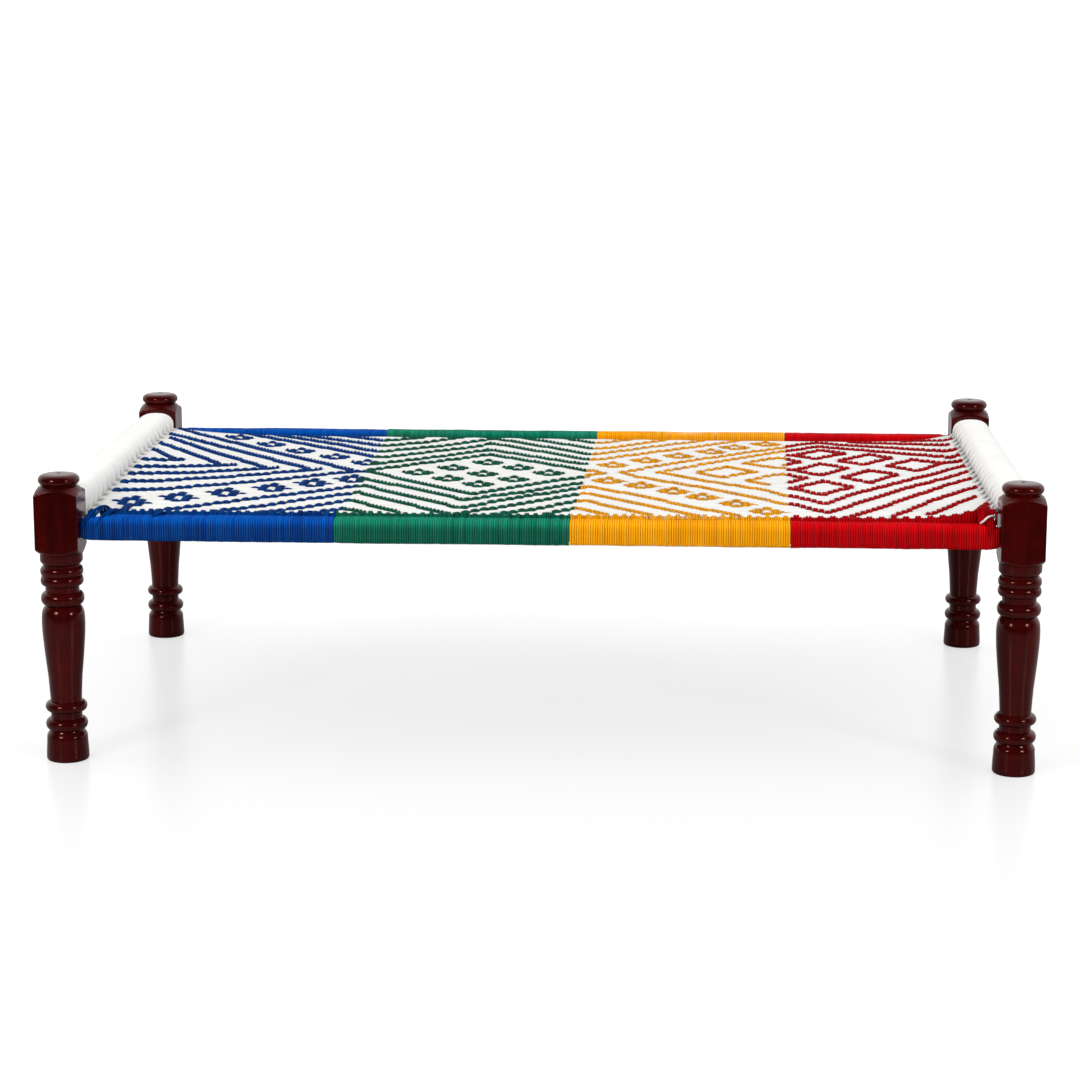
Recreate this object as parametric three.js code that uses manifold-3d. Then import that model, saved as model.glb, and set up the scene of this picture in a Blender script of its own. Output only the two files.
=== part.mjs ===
// A charpai: a low rope bed on four turned legs. Two side rails and two end rails are tenoned into
// the leg blocks. Coloured cord is wound round the side rails in four lengths, white cord is wound
// thickly round the end rails, and the bed itself is white cord lengthwise and coloured cord across.
// Millimetres, +Z up. The origin is the middle of the bed on the floor. +X runs along the bed to
// its right-hand end and +Y runs to its back.

import * as THREE from 'three';
import { mergeVertices } from 'three/addons/utils/BufferGeometryUtils.js';
import Module from 'manifold-3d';

const wasm = await Module();
wasm.setup();

// Clearances
const fit = 0.3;
const cordGap = 0.6;
const overrun = 5;

// Frame: distances between leg centres, and the square stock of the legs
const legSpacingX = 1752;
const legSpacingY = 992;
const blockWidth = 80;
const scrape = 0.2;

// Heights of a leg's turned parts, from the floor up. Each stands on the one before.
const footHeight = 58.5;
const lowBeadHeight = 21.5;
const coveHeight = 12;
const highBeadHeight = 20;
const vaseHeight = 183;
const ringHeight = 25;
const neckHeight = 11;
const lowRollHeight = 19;
const highRollHeight = 18;
const grooveHeight = 3;
const collarHeight = 21;
const coneHeight = 12;
const blockHeight = 99;
const shoulderHeight = 15;
const knobNeckHeight = 2;
const knobHeight = 20;

// Radii of the turned parts, as shares of the largest radius that the stock gives
const footShare = 0.985;
const footTopShare = 0.79;
const lowBeadShare = 0.97;
const coveShare = 0.72;
const highBeadShare = 0.965;
const ringShare = 1;
const neckShare = 0.78;
const rollShare = 0.99;
const rollGrooveShare = 0.88;
const grooveShare = 0.85;
const collarShare = 0.985;
const shoulderTopShare = 0.87;
const knobShare = 0.955;
const knobNeckShare = 0.85;

// The vase's outline: height share of vaseHeight, radius share of the turned radius
const vaseShares = [
  [0, 0.72], [0.26, 0.79], [0.5, 0.905], [0.68, 0.975], [0.82, 1],
  [0.9, 0.985], [0.95, 0.94], [0.985, 0.85], [1, 0.78],
];
const vaseSteps = 11;

// Foot outline: height share of footHeight, radius share of the foot's radius
const footShares = [[0, 0.965], [0.06, 1], [0.4, 0.985], [0.78, 0.955], [0.88, 0.9]];

// Knob outline: height share of knobHeight, radius share of the knob's radius
const knobShares = [[0.12, 0.93], [0.38, 1], [0.62, 0.975], [0.86, 0.85], [0.97, 0.6]];
const pipRadius = 2.5;
const pipDepth = 1;

const turnedSides = 16;
const beadSteps = 4;

// Rails and their tenons. The side rails' tenons pass below the end rails' tenons.
const sideRailWidth = 40;
const sideRailHeight = 35;
const sideRailRise = 19.5;
const endRailHeight = 45;
const endRailChamfer = 18;
const tenonWidth = 28;
const tenonLength = 58;
const sideTenonHeight = 22;
const endTenonHeight = 24;
const tenonBridge = 15;

// Windings
const sideWrapThickness = 4.7;
const endWrapThickness = 9.7;
const sideWrapTurns = 24;
const endWrapTurns = 20;
// How far a wound cord's outer face draws in at each rim, as a share of the winding's thickness
const cordRoundShare = 0.4;

// Lengths of the coloured windings along each side rail, from the left. Red takes the rest.
const colourLengths = {
  front: { blue: 466.7, green: 429.5, yellow: 399.5 },
  back: { blue: 457.7, green: 456, yellow: 404 },
};
const colours = ['blue', 'green', 'yellow', 'red'];

// The bed: lengthwise cord between the end rails, and crosswise cord on it between the side rails
const weaveDrop = 9.5;
const warpThickness = 4.7;
const weftThickness = 4.7;

const finishes = {
  wood: { color: 0x4b100c, roughness: 0.28, metalness: 0 },
  blue: { color: 0x0a4aa8, roughness: 0.8, metalness: 0 },
  green: { color: 0x146b4a, roughness: 0.8, metalness: 0 },
  yellow: { color: 0xf4a71c, roughness: 0.8, metalness: 0 },
  red: { color: 0xbd0d1d, roughness: 0.8, metalness: 0 },
  white: { color: 0xf1ede4, roughness: 0.85, metalness: 0 },
};

// Places that follow from the sizes above
const blockHalf = blockWidth / 2;
const turnedRadius = blockHalf - scrape;
const turningHeights = [
  footHeight, lowBeadHeight, coveHeight, highBeadHeight, vaseHeight, ringHeight, neckHeight,
  lowRollHeight, highRollHeight, grooveHeight, collarHeight, coneHeight,
];
const blockBottom = turningHeights.reduce((sum, height) => sum + height, 0);
const blockTop = blockBottom + blockHeight;
const legHeight = blockTop + shoulderHeight + knobNeckHeight + knobHeight;

const sideRailY = legSpacingY / 2;
const endRailX = legSpacingX / 2;
const blockInnerX = endRailX - blockHalf;
const blockInnerY = sideRailY - blockHalf;

const sideRailBottom = blockBottom + sideRailRise;
const sideRailZ = sideRailBottom + sideRailHeight / 2;
const sideTenonZ = sideRailBottom + sideTenonHeight / 2;
const endTenonZ = sideRailBottom + sideTenonHeight + tenonBridge + endTenonHeight / 2;
const endRailZ = endTenonZ;

const sideWrapWidth = sideRailWidth + 2 * (fit + sideWrapThickness);
const sideWrapHeight = sideRailHeight + 2 * (fit + sideWrapThickness);
// The wound end rolls are flush with the leg blocks.
const endWrapWidth = blockWidth;
const endRailWidth = endWrapWidth - 2 * (fit + endWrapThickness);
const endWrapBottom = endRailZ - endRailHeight / 2 - fit - endWrapThickness;

const weaveTop = sideRailZ + sideWrapHeight / 2 - weaveDrop;
const warpTop = weaveTop - weftThickness - fit;
// The lengthwise cord runs on under the end windings, whose lower sides slope at 45 degrees.
const underrun = Math.max(0, endWrapBottom + grownChamfer(fit + endWrapThickness) - warpTop);
const warpHalfX = endRailX - endWrapWidth / 2 + underrun - fit * Math.SQRT2;
const warpHalfY = blockInnerY - fit;
const weftHalfX = endRailX - endWrapWidth / 2 - fit;
const weftHalfY = sideRailY - sideWrapWidth / 2 - fit;

// Width of the end rail's chamfers, on a section that stands outside the rail by grown
function grownChamfer(grown) {
  return endRailChamfer + grown * (2 - Math.SQRT2);
}

// Solids

function toGeometry(solid) {
  const mesh = solid.getMesh();
  const geometry = new THREE.BufferGeometry();
  geometry.setAttribute('position', new THREE.BufferAttribute(mesh.vertProperties, 3));
  geometry.setIndex(new THREE.BufferAttribute(mesh.triVerts, 1));
  return geometry;
}

// Joins the shared corners of a closed geometry and drops the triangles that this closes up.
function weld(geometry) {
  geometry.deleteAttribute('normal');
  geometry.deleteAttribute('uv');
  const merged = mergeVertices(geometry);
  const corners = merged.index.array;
  const kept = [];
  for (let i = 0; i < corners.length; i += 3) {
    const [a, b, c] = [corners[i], corners[i + 1], corners[i + 2]];
    if (a !== b && b !== c && c !== a) kept.push(a, b, c);
  }
  merged.setIndex(kept);
  return merged;
}

function toSolid(geometry) {
  const welded = weld(geometry);
  return new wasm.Manifold(new wasm.Mesh({
    numProp: 3,
    vertProperties: new Float32Array(welded.attributes.position.array),
    triVerts: new Uint32Array(welded.index.array),
  }));
}

function boxSolid(size, centre) {
  const geometry = new THREE.BoxGeometry(...size);
  geometry.translate(...centre);
  return toSolid(geometry);
}

// Legs

// Points of a bead from its lower groove to its upper one, without the first
function beadPoints(bottom, height, grooveBelow, radius, grooveAbove) {
  const points = [];
  for (let i = 1; i <= beadSteps; i++) {
    const angle = (i / beadSteps) * Math.PI;
    const groove = i < beadSteps / 2 ? grooveBelow : grooveAbove;
    const r = groove + (radius - groove) * Math.sin(angle);
    const z = bottom + (height / 2) * (1 - Math.cos(angle));
    points.push([r, z]);
  }
  return points;
}

function turnedProfile() {
  const r = turnedRadius;
  const cornerRadius = blockHalf * Math.SQRT2 + overrun;
  const points = [[0, 0]];
  for (const [height, radius] of footShares) {
    points.push([radius * footShare * r, height * footHeight]);
  }
  points.push([footTopShare * r, footHeight]);
  let z = footHeight;

  points.push(...beadPoints(z, lowBeadHeight, footTopShare * r, lowBeadShare * r, coveShare * r));
  z += lowBeadHeight + coveHeight;
  points.push([coveShare * r, z]);
  points.push(...beadPoints(z, highBeadHeight, coveShare * r, highBeadShare * r, coveShare * r));
  z += highBeadHeight;

  const vase = new THREE.SplineCurve(vaseShares.map(([height, radius]) => (
    new THREE.Vector2(radius * r, z + height * vaseHeight)
  )));
  points.push(...vase.getPoints(vaseSteps).slice(1).map((point) => [point.x, point.y]));
  z += vaseHeight;

  points.push(...beadPoints(z, ringHeight, neckShare * r, ringShare * r, neckShare * r));
  z += ringHeight + neckHeight;
  points.push([neckShare * r, z]);
  points.push(...beadPoints(z, lowRollHeight, neckShare * r, rollShare * r, rollGrooveShare * r));
  z += lowRollHeight;
  points.push(...beadPoints(z, highRollHeight, rollGrooveShare * r, rollShare * r, grooveShare * r));
  z += highRollHeight + grooveHeight;

  points.push([grooveShare * r, z]);
  points.push([collarShare * r, z + collarHeight / 3]);
  points.push([collarShare * r, z + collarHeight]);
  z += collarHeight;
  points.push([blockHalf * Math.SQRT2, z + coneHeight]);
  points.push([cornerRadius, z + coneHeight]);

  points.push([cornerRadius, blockTop]);
  points.push([blockHalf * Math.SQRT2, blockTop]);
  points.push([blockHalf, blockTop + shoulderHeight * 2 / 3]);
  points.push([shoulderTopShare * r, blockTop + shoulderHeight]);
  points.push([knobNeckShare * r, blockTop + shoulderHeight]);
  z = blockTop + shoulderHeight + knobNeckHeight;
  points.push([knobNeckShare * r, z]);
  for (const [height, radius] of knobShares) {
    points.push([radius * knobShare * r, z + height * knobHeight]);
  }
  points.push([pipRadius, legHeight]);
  points.push([0, legHeight - pipDepth]);
  return points.map(([x, y]) => new THREE.Vector2(x, y));
}

// The leg at one corner. sideX and sideY are -1 or 1 and say which corner.
function legGeometry(sideX, sideY) {
  const lathe = new THREE.LatheGeometry(turnedProfile(), turnedSides);
  lathe.rotateX(Math.PI / 2);
  const stock = boxSolid([blockWidth, blockWidth, legHeight + 2 * overrun], [0, 0, legHeight / 2]);
  const mortiseRun = tenonLength + fit + overrun;
  const mortiseMiddle = blockHalf + overrun - mortiseRun / 2;
  const mortiseWidth = tenonWidth + 2 * fit;
  const sideMortise = boxSolid(
    [mortiseRun, mortiseWidth, sideTenonHeight + 2 * fit],
    [-sideX * mortiseMiddle, 0, sideTenonZ],
  );
  const endMortise = boxSolid(
    [mortiseWidth, mortiseRun, endTenonHeight + 2 * fit],
    [0, -sideY * mortiseMiddle, endTenonZ],
  );
  const turned = toSolid(lathe).intersect(stock);
  return toGeometry(turned.subtract(sideMortise).subtract(endMortise));
}

// Rails

function sideRailGeometry() {
  const bodyLength = 2 * (blockInnerX - fit);
  const body = boxSolid([bodyLength, sideRailWidth, sideRailHeight], [0, 0, sideRailZ]);
  const tenons = boxSolid(
    [2 * (blockInnerX + tenonLength), tenonWidth, sideTenonHeight],
    [0, 0, sideTenonZ],
  );
  return toGeometry(body.add(tenons));
}

// Corners of a chamfered section round the middle of an end rail, from the foot of its inner side,
// up, over the top and down. grown is how far the section stands outside the rail.
function endSection(grown) {
  const halfWidth = endRailWidth / 2 + grown;
  const halfHeight = endRailHeight / 2 + grown;
  const chamfer = grownChamfer(grown);
  return [
    [-halfWidth, chamfer - halfHeight], [-halfWidth, halfHeight - chamfer],
    [chamfer - halfWidth, halfHeight], [halfWidth - chamfer, halfHeight],
    [halfWidth, halfHeight - chamfer], [halfWidth, chamfer - halfHeight],
    [halfWidth - chamfer, -halfHeight], [chamfer - halfWidth, -halfHeight],
  ];
}

function sideSection(grown) {
  const halfWidth = sideRailWidth / 2 + grown;
  const halfHeight = sideRailHeight / 2 + grown;
  return [
    [-halfWidth, -halfHeight], [-halfWidth, halfHeight],
    [halfWidth, halfHeight], [halfWidth, -halfHeight],
  ];
}

function endRailGeometry() {
  const bodyLength = 2 * (blockInnerY - fit);
  const outline = new THREE.Shape(endSection(0).map(([x, z]) => new THREE.Vector2(x, z)));
  const bar = new THREE.ExtrudeGeometry(outline, { depth: bodyLength, bevelEnabled: false });
  bar.rotateX(Math.PI / 2);
  bar.translate(0, bodyLength / 2, endRailZ);
  const tenons = boxSolid(
    [tenonWidth, 2 * (blockInnerY + tenonLength), endTenonHeight],
    [0, 0, endTenonZ],
  );
  return toGeometry(toSolid(bar).add(tenons));
}

// Windings

// Rings of four corners along one unbroken flat cord that is wound on a rail. Each turn lies square
// to the rail but for its last runs, under the rail, which carry it on to the next turn.
function windingRings(inner, outer, start, end, turns, carryingRuns) {
  const pitch = (end - start) / turns;
  const thickness = outer[1][1] - inner[1][1];
  const halfCord = (pitch - cordGap) / 2;
  const halfFace = halfCord - cordRoundShare * thickness;
  const corners = inner.length;
  const lastCorner = (turns - 1) * corners + corners - carryingRuns;
  const rings = [];
  for (let step = 0; step <= lastCorner; step++) {
    const corner = step % corners;
    const turn = Math.floor(step / corners);
    const carried = Math.max(0, corner - (corners - carryingRuns)) / carryingRuns;
    const along = start + pitch * (turn + 0.5 + carried);
    const [innerAcross, innerUp] = inner[corner];
    const [outerAcross, outerUp] = outer[corner];
    const isEnd = step === 0 || step === lastCorner;
    const nearUp = isEnd ? outerUp : innerUp;
    rings.push([
      [along - halfCord, innerAcross, nearUp], [along + halfCord, innerAcross, nearUp],
      [along + halfFace, outerAcross, outerUp], [along - halfFace, outerAcross, outerUp],
    ]);
  }
  return rings;
}

// Least distance from points on one turn's far rims to the next turn's near rims
function leastTurnGap(rings, corners) {
  const samples = 8;
  const run = (step, rim) => new THREE.Line3(
    new THREE.Vector3(...rings[step][rim]), new THREE.Vector3(...rings[step + 1][rim]),
  );
  const point = new THREE.Vector3();
  const nearest = new THREE.Vector3();
  let least = Infinity;
  for (let step = 0; step + corners + 1 < rings.length; step++) {
    for (const [farRim, nearRim] of [[1, 0], [2, 3]]) {
      const [far, near] = [run(step, farRim), run(step + corners, nearRim)];
      for (let i = 0; i <= samples; i++) {
        far.at(i / samples, point);
        near.closestPointToPoint(point, true, nearest);
        least = Math.min(least, point.distanceTo(nearest));
      }
    }
  }
  return least;
}

function windingGeometry(rings, place) {
  const positions = rings.flat().flatMap(place);
  const index = [0, 1, 2, 0, 2, 3];
  for (let ring = 0; ring + 1 < rings.length; ring++) {
    for (let rim = 0; rim < 4; rim++) {
      const [a, b] = [4 * ring + rim, 4 * ring + (rim + 1) % 4];
      index.push(a, a + 4, b, b, a + 4, b + 4);
    }
  }
  const last = 4 * (rings.length - 1);
  index.push(last, last + 2, last + 1, last, last + 3, last + 2);
  const geometry = new THREE.BufferGeometry();
  geometry.setAttribute('position', new THREE.Float32BufferAttribute(positions, 3));
  geometry.setIndex(index);
  return geometry;
}

// Flips every triangle, for a winding whose place mirrors it.
function turnInsideOut(geometry) {
  const index = geometry.index.array;
  for (let i = 0; i < index.length; i += 3) {
    [index[i + 1], index[i + 2]] = [index[i + 2], index[i + 1]];
  }
  return geometry;
}

// A coloured winding on a side rail, between two places along it. sideY is -1 in front, 1 behind.
function sideWrapGeometry(start, end, sideY) {
  const rings = windingRings(
    sideSection(fit), sideSection(fit + sideWrapThickness), start, end, sideWrapTurns, 1,
  );
  console.log('least gap between turns, side winding', leastTurnGap(rings, 4).toFixed(2), 'mm');
  const wound = windingGeometry(rings, ([along, across, up]) => (
    [along, sideY * across, sideRailZ + up]
  ));
  return sideY > 0 ? wound : turnInsideOut(wound);
}

function endWrapGeometry(sideX) {
  const reach = blockInnerY - fit;
  const rings = windingRings(
    endSection(fit), endSection(fit + endWrapThickness), -reach, reach, endWrapTurns, 3,
  );
  console.log('least gap between turns, end winding', leastTurnGap(rings, 8).toFixed(2), 'mm');
  const wound = windingGeometry(rings, ([along, across, up]) => (
    [sideX * across, along, endRailZ + up]
  ));
  return sideX > 0 ? turnInsideOut(wound) : wound;
}

// The bed

// Places along a side rail where the colours start and end
function colourEnds(rail) {
  const ends = [fit - blockInnerX];
  for (const length of Object.values(colourLengths[rail])) {
    ends.push(ends[ends.length - 1] + length);
  }
  return [...ends, blockInnerX - fit];
}

function slabGeometry(corners, bottom, thickness) {
  const outline = new THREE.Shape(corners.map(([x, y]) => new THREE.Vector2(x, y)));
  const slab = new THREE.ExtrudeGeometry(outline, { depth: thickness, bevelEnabled: false });
  slab.translate(0, 0, bottom);
  return weld(slab);
}

function warpGeometry() {
  const corners = [
    [-warpHalfX, -warpHalfY], [warpHalfX, -warpHalfY],
    [warpHalfX, warpHalfY], [-warpHalfX, warpHalfY],
  ];
  return slabGeometry(corners, warpTop - warpThickness, warpThickness);
}

function weftGeometry(number) {
  const [front, back] = [colourEnds('front'), colourEnds('back')];
  const isLast = number === colours.length - 1;
  const first = (ends) => (number === 0 ? -weftHalfX : ends[number] + fit / 2);
  const last = (ends) => (isLast ? weftHalfX : ends[number + 1] - fit / 2);
  const corners = [
    [first(front), -weftHalfY], [last(front), -weftHalfY],
    [last(back), weftHalfY], [first(back), weftHalfY],
  ];
  return slabGeometry(corners, weaveTop - weftThickness, weftThickness);
}

// The assembly

const charpai = new THREE.Group();

function addPiece(name, geometry, finish, x = 0, y = 0) {
  const material = new THREE.MeshStandardMaterial(finishes[finish]);
  const piece = new THREE.Mesh(geometry, material);
  piece.name = name;
  piece.position.set(x, y, 0);
  charpai.add(piece);
}

const railSides = [['front', -1], ['back', 1]];
const endSides = [['left', -1], ['right', 1]];

for (const [rail, sideY] of railSides) {
  for (const [end, sideX] of endSides) {
    addPiece(
      `leg_${rail}_${end}`, legGeometry(sideX, sideY), 'wood', sideX * endRailX, sideY * sideRailY,
    );
  }
}

for (const [rail, sideY] of railSides) {
  addPiece(`side_rail_${rail}`, sideRailGeometry(), 'wood', 0, sideY * sideRailY);
}

for (const [end, sideX] of endSides) {
  addPiece(`end_rail_${end}`, endRailGeometry(), 'wood', sideX * endRailX, 0);
}

for (const [rail, sideY] of railSides) {
  const ends = colourEnds(rail);
  colours.forEach((colour, number) => {
    const wrap = sideWrapGeometry(ends[number], ends[number + 1], sideY);
    addPiece(`side_wrap_${rail}_${colour}`, wrap, colour, 0, sideY * sideRailY);
  });
}

for (const [end, sideX] of endSides) {
  addPiece(`end_wrap_${end}`, endWrapGeometry(sideX), 'white', sideX * endRailX, 0);
}

addPiece('warp_white', warpGeometry(), 'white');
colours.forEach((colour, number) => {
  addPiece(`weft_${colour}`, weftGeometry(number), colour);
});

export default charpai;
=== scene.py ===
"""A charpai: turned legs, rails wound with coloured and white cord, and a patterned woven top."""

import math

import bpy
import numpy as np
from bpy.props import FloatProperty, FloatVectorProperty, PointerProperty
from bpy.types import Operator, Panel, PropertyGroup
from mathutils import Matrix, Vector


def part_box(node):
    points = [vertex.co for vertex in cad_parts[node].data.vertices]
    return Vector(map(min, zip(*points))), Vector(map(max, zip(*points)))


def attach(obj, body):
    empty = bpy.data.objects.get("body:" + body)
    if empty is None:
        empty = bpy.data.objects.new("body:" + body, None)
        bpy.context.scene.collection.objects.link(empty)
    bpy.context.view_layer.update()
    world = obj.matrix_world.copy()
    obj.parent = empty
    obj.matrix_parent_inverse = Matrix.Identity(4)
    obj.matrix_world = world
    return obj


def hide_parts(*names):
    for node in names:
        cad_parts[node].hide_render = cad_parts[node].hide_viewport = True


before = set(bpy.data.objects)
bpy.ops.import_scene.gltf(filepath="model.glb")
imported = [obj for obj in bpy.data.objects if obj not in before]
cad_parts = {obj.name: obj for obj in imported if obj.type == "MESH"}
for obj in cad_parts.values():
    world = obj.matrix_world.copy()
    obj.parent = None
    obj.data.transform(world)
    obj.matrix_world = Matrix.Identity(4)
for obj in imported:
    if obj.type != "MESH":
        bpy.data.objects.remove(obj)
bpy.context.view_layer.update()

bl_info = {
    "name": "Charpai",
    "version": (1, 0, 0),
    "blender": (4, 5, 0),
    "location": "View3D > Sidebar > Charpai",
    "description": "Builds a rope bed: turned legs, wound rails and a patterned woven top",
    "category": "Add Mesh",
}

BODY = "root"
SIDES = (("front", -1), ("back", 1))
ENDS = (("left", -1), ("right", 1))
COLOURS = ("blue", "green", "yellow", "red")
MM = 0.001
SEEDS = {"side_wraps": 11, "end_rolls": 23, "crosswise": 37, "lengthwise": 41, "front_edge": 53}


def box_of(node):
    """Lowest and highest corners of a node of the frame, as arrays."""
    low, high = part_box(node)
    return np.array(low), np.array(high)


def middle_of(node):
    """The middle of a node's box."""
    low, high = box_of(node)
    return (low + high) / 2


# Settings that a user would change


class CharpaiCords(PropertyGroup):
    side_cord: FloatProperty(
        name="Side cord", description="Width of the cord wound on the side rails",
        default=4.3 * MM, subtype="DISTANCE", precision=4)
    roll_cord: FloatProperty(
        name="Roll cord", description="Width of the cord wound on the end rails",
        default=4.3 * MM, subtype="DISTANCE", precision=4)
    weave_cord: FloatProperty(
        name="Weave cord", description="Width of the cords of the woven top",
        default=4.1 * MM, subtype="DISTANCE", precision=4)
    swing: FloatProperty(
        name="Swing", description="How far a woven cord rises and falls about the middle of the top",
        default=2.1 * MM, subtype="DISTANCE", precision=4)
    crown: FloatProperty(
        name="Crown", description="How far the middle of a float of coloured cords stands up",
        default=3.2 * MM, subtype="DISTANCE", precision=4)
    unevenness: FloatProperty(
        name="Unevenness", description="How far wound and woven cords stray from their places",
        default=0.25 * MM, subtype="DISTANCE", precision=5)
    gather: FloatProperty(
        name="Gather", description="Share by which cords that float together close up at their ends",
        default=0.7, min=0.0, max=1.0)
    lay: FloatProperty(
        name="Lay", description="Length of one full turn of a cord's strands",
        default=11 * MM, subtype="DISTANCE", precision=4)


class CharpaiColours(PropertyGroup):
    blue: FloatVectorProperty(
        name="Blue", description="Dye of the blue cord", subtype="COLOR", size=3,
        default=(0.003, 0.13, 0.57))
    green: FloatVectorProperty(
        name="Green", description="Dye of the green cord", subtype="COLOR", size=3,
        default=(0.018, 0.33, 0.205))
    yellow: FloatVectorProperty(
        name="Yellow", description="Dye of the yellow cord", subtype="COLOR", size=3,
        default=(1.0, 0.47, 0.012))
    red: FloatVectorProperty(
        name="Red", description="Dye of the red cord", subtype="COLOR", size=3,
        default=(0.76, 0.003, 0.009))
    white: FloatVectorProperty(
        name="White", description="Undyed cotton cord", subtype="COLOR", size=3,
        default=(0.815, 0.81, 0.795))
    leg_wood: FloatVectorProperty(
        name="Leg wood", description="Red-brown stain of the legs", subtype="COLOR", size=3,
        default=(0.042, 0.0008, 0.0009))
    rail_wood: FloatVectorProperty(
        name="Rail wood", description="Sawn wood of the rails", subtype="COLOR", size=3,
        default=(0.20, 0.07, 0.035))


class CharpaiStage(PropertyGroup):
    lens: FloatProperty(
        name="Lens", description="Focal length on a 36 mm wide sensor, in millimetres", default=92.367)
    place: FloatVectorProperty(
        name="Place", description="Where the camera stands", subtype="TRANSLATION", size=3,
        default=(0.26904, -5.43342, 1.43341))
    tilt: FloatProperty(
        name="Tilt", description="How far the camera looks down", default=0.2012, subtype="ANGLE")
    turn: FloatProperty(
        name="Turn", description="How far the camera looks to the left", default=0.05317,
        subtype="ANGLE")
    softbox: FloatProperty(
        name="Softbox", description="Power of each softbox", default=54.0, unit="POWER")
    zenith: FloatProperty(
        name="Zenith", description="Strength of the light from straight above", default=1.22)
    horizon: FloatProperty(
        name="Horizon", description="Strength of the light from all round", default=0.85)


# Shader nodes


class Shading:
    """Adds nodes to one node tree. An input is given as a number, a colour or another node's socket."""

    def __init__(self, tree):
        self.tree = tree

    def add(self, kind, inputs=(), **settings):
        node = self.tree.nodes.new(kind)
        for name, value in settings.items():
            setattr(node, name, value)
        for key, value in dict(inputs).items():
            self.feed(node.inputs[key], value)
        return node

    def feed(self, socket, value):
        if isinstance(value, bpy.types.NodeSocket):
            self.tree.links.new(value, socket)
        else:
            socket.default_value = value

    def math(self, operation, first, second=0.0):
        inputs = {0: first, 1: second}
        return self.add("ShaderNodeMath", inputs, operation=operation).outputs[0]

    def mix(self, factor, low, high):
        inputs = {0: factor, 6: low, 7: high}
        return self.add("ShaderNodeMix", inputs, data_type="RGBA").outputs[2]

    def spread(self, value, low, high, to_low=0.0, to_high=1.0):
        inputs = {0: value, 1: low, 2: high, 3: to_low, 4: to_high}
        return self.add("ShaderNodeMapRange", inputs, interpolation_type="SMOOTHSTEP").outputs[0]

    def noise(self, place, scale, detail=3.0, roughness=0.55):
        inputs = {"Vector": place, "Scale": scale, "Detail": detail, "Roughness": roughness}
        return self.add("ShaderNodeTexNoise", inputs).outputs["Fac"]


def rgba(colour, share=1.0):
    """A colour, lighter or darker by a share."""
    return tuple(part * share for part in colour) + (1.0,)


def deepened(colour, share):
    """A deeper and purer shade of a dye."""
    return tuple(share * part ** 1.35 for part in colour) + (1.0,)


def new_group(name, inputs, outputs):
    """A node group with named sockets, its Shading, and its input and output nodes.

    inputs gives each input's default. A default of three numbers makes a vector socket."""
    tree = bpy.data.node_groups.new(name, "ShaderNodeTree")
    for label, default in inputs.items():
        kind = "NodeSocketFloat" if isinstance(default, float) else "NodeSocketVector"
        socket = tree.interface.new_socket(name=label, in_out="INPUT", socket_type=kind)
        socket.default_value = default
    for label in outputs:
        tree.interface.new_socket(name=label, in_out="OUTPUT", socket_type="NodeSocketFloat")
    shading = Shading(tree)
    return tree, shading, shading.add("NodeGroupInput"), shading.add("NodeGroupOutput")


def masked(shading, factor, share, low, high):
    """low, mixed with high where a mask lies, up to a share of it."""
    return shading.mix(shading.math("MULTIPLY", factor, share), low, high)


# Where a strand's edge sinks, where round a cord it touches its neighbours and gets painted shade, and how
# much its fuzz stands up
STRAND_EDGE, TOUCHING, FUZZ_SHARE = (0.28, 0.5), (0.85, 0.25), 0.35
# Noise values between which each mask comes in
PATCH_EDGES, FLECK_EDGES = (0.3, 0.7), (0.35, 0.65)
BAND_EDGES, PORE_EDGES = (0.32, 0.68), (0.45, 0.7)


def cord_lay_group():
    """The strands that a cord is twisted from, and how far round a point lies from its outer side, which
    masks the painted shade where cords touch.
    """
    name = "Cord lay"
    if name in bpy.data.node_groups:
        return bpy.data.node_groups[name]
    inputs = {"Lay": 0.011, "Strands": 3.0, "Fuzz": 2600.0}
    tree, s, given, out = new_group(name, inputs, ("Groove", "Contact", "Height"))
    on_cord = s.add("ShaderNodeUVMap", uv_map="cord").outputs[0]
    along, around = s.add("ShaderNodeSeparateXYZ", {0: on_cord}).outputs[:2]
    turns = s.math("ADD", s.math("DIVIDE", along, given.outputs["Lay"]), around)
    phase = s.math("MULTIPLY", turns, given.outputs["Strands"])
    offset = s.math("ABSOLUTE", s.math("SUBTRACT", s.math("FRACT", phase), 0.5))
    groove = s.spread(offset, *STRAND_EDGE)
    facing = s.math("SINE", s.math("MULTIPLY", around, 2 * math.pi))
    s.feed(out.inputs["Contact"], s.spread(facing, *TOUCHING))
    place = s.add("ShaderNodeTexCoord").outputs["Object"]
    fibres = s.noise(place, given.outputs["Fuzz"], 2.0)
    height = s.math("SUBTRACT", s.math("MULTIPLY", fibres, FUZZ_SHARE), groove)
    s.feed(out.inputs["Groove"], groove)
    s.feed(out.inputs["Height"], height)
    return tree


def dye_group():
    """Uneven dye and handling: a mask that wanders slowly, with a finer one on it."""
    name = "Uneven dye"
    if name in bpy.data.node_groups:
        return bpy.data.node_groups[name]
    tree, s, given, out = new_group(name, {"Patches": 14.0, "Flecks": 420.0}, ("Fade", "Fleck"))
    place = s.add("ShaderNodeTexCoord").outputs["Object"]
    patches = s.noise(place, given.outputs["Patches"], 3.0)
    flecks = s.noise(place, given.outputs["Flecks"], 2.0)
    s.feed(out.inputs["Fade"], s.spread(patches, *PATCH_EDGES))
    s.feed(out.inputs["Fleck"], s.spread(flecks, *FLECK_EDGES))
    return tree


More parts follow.
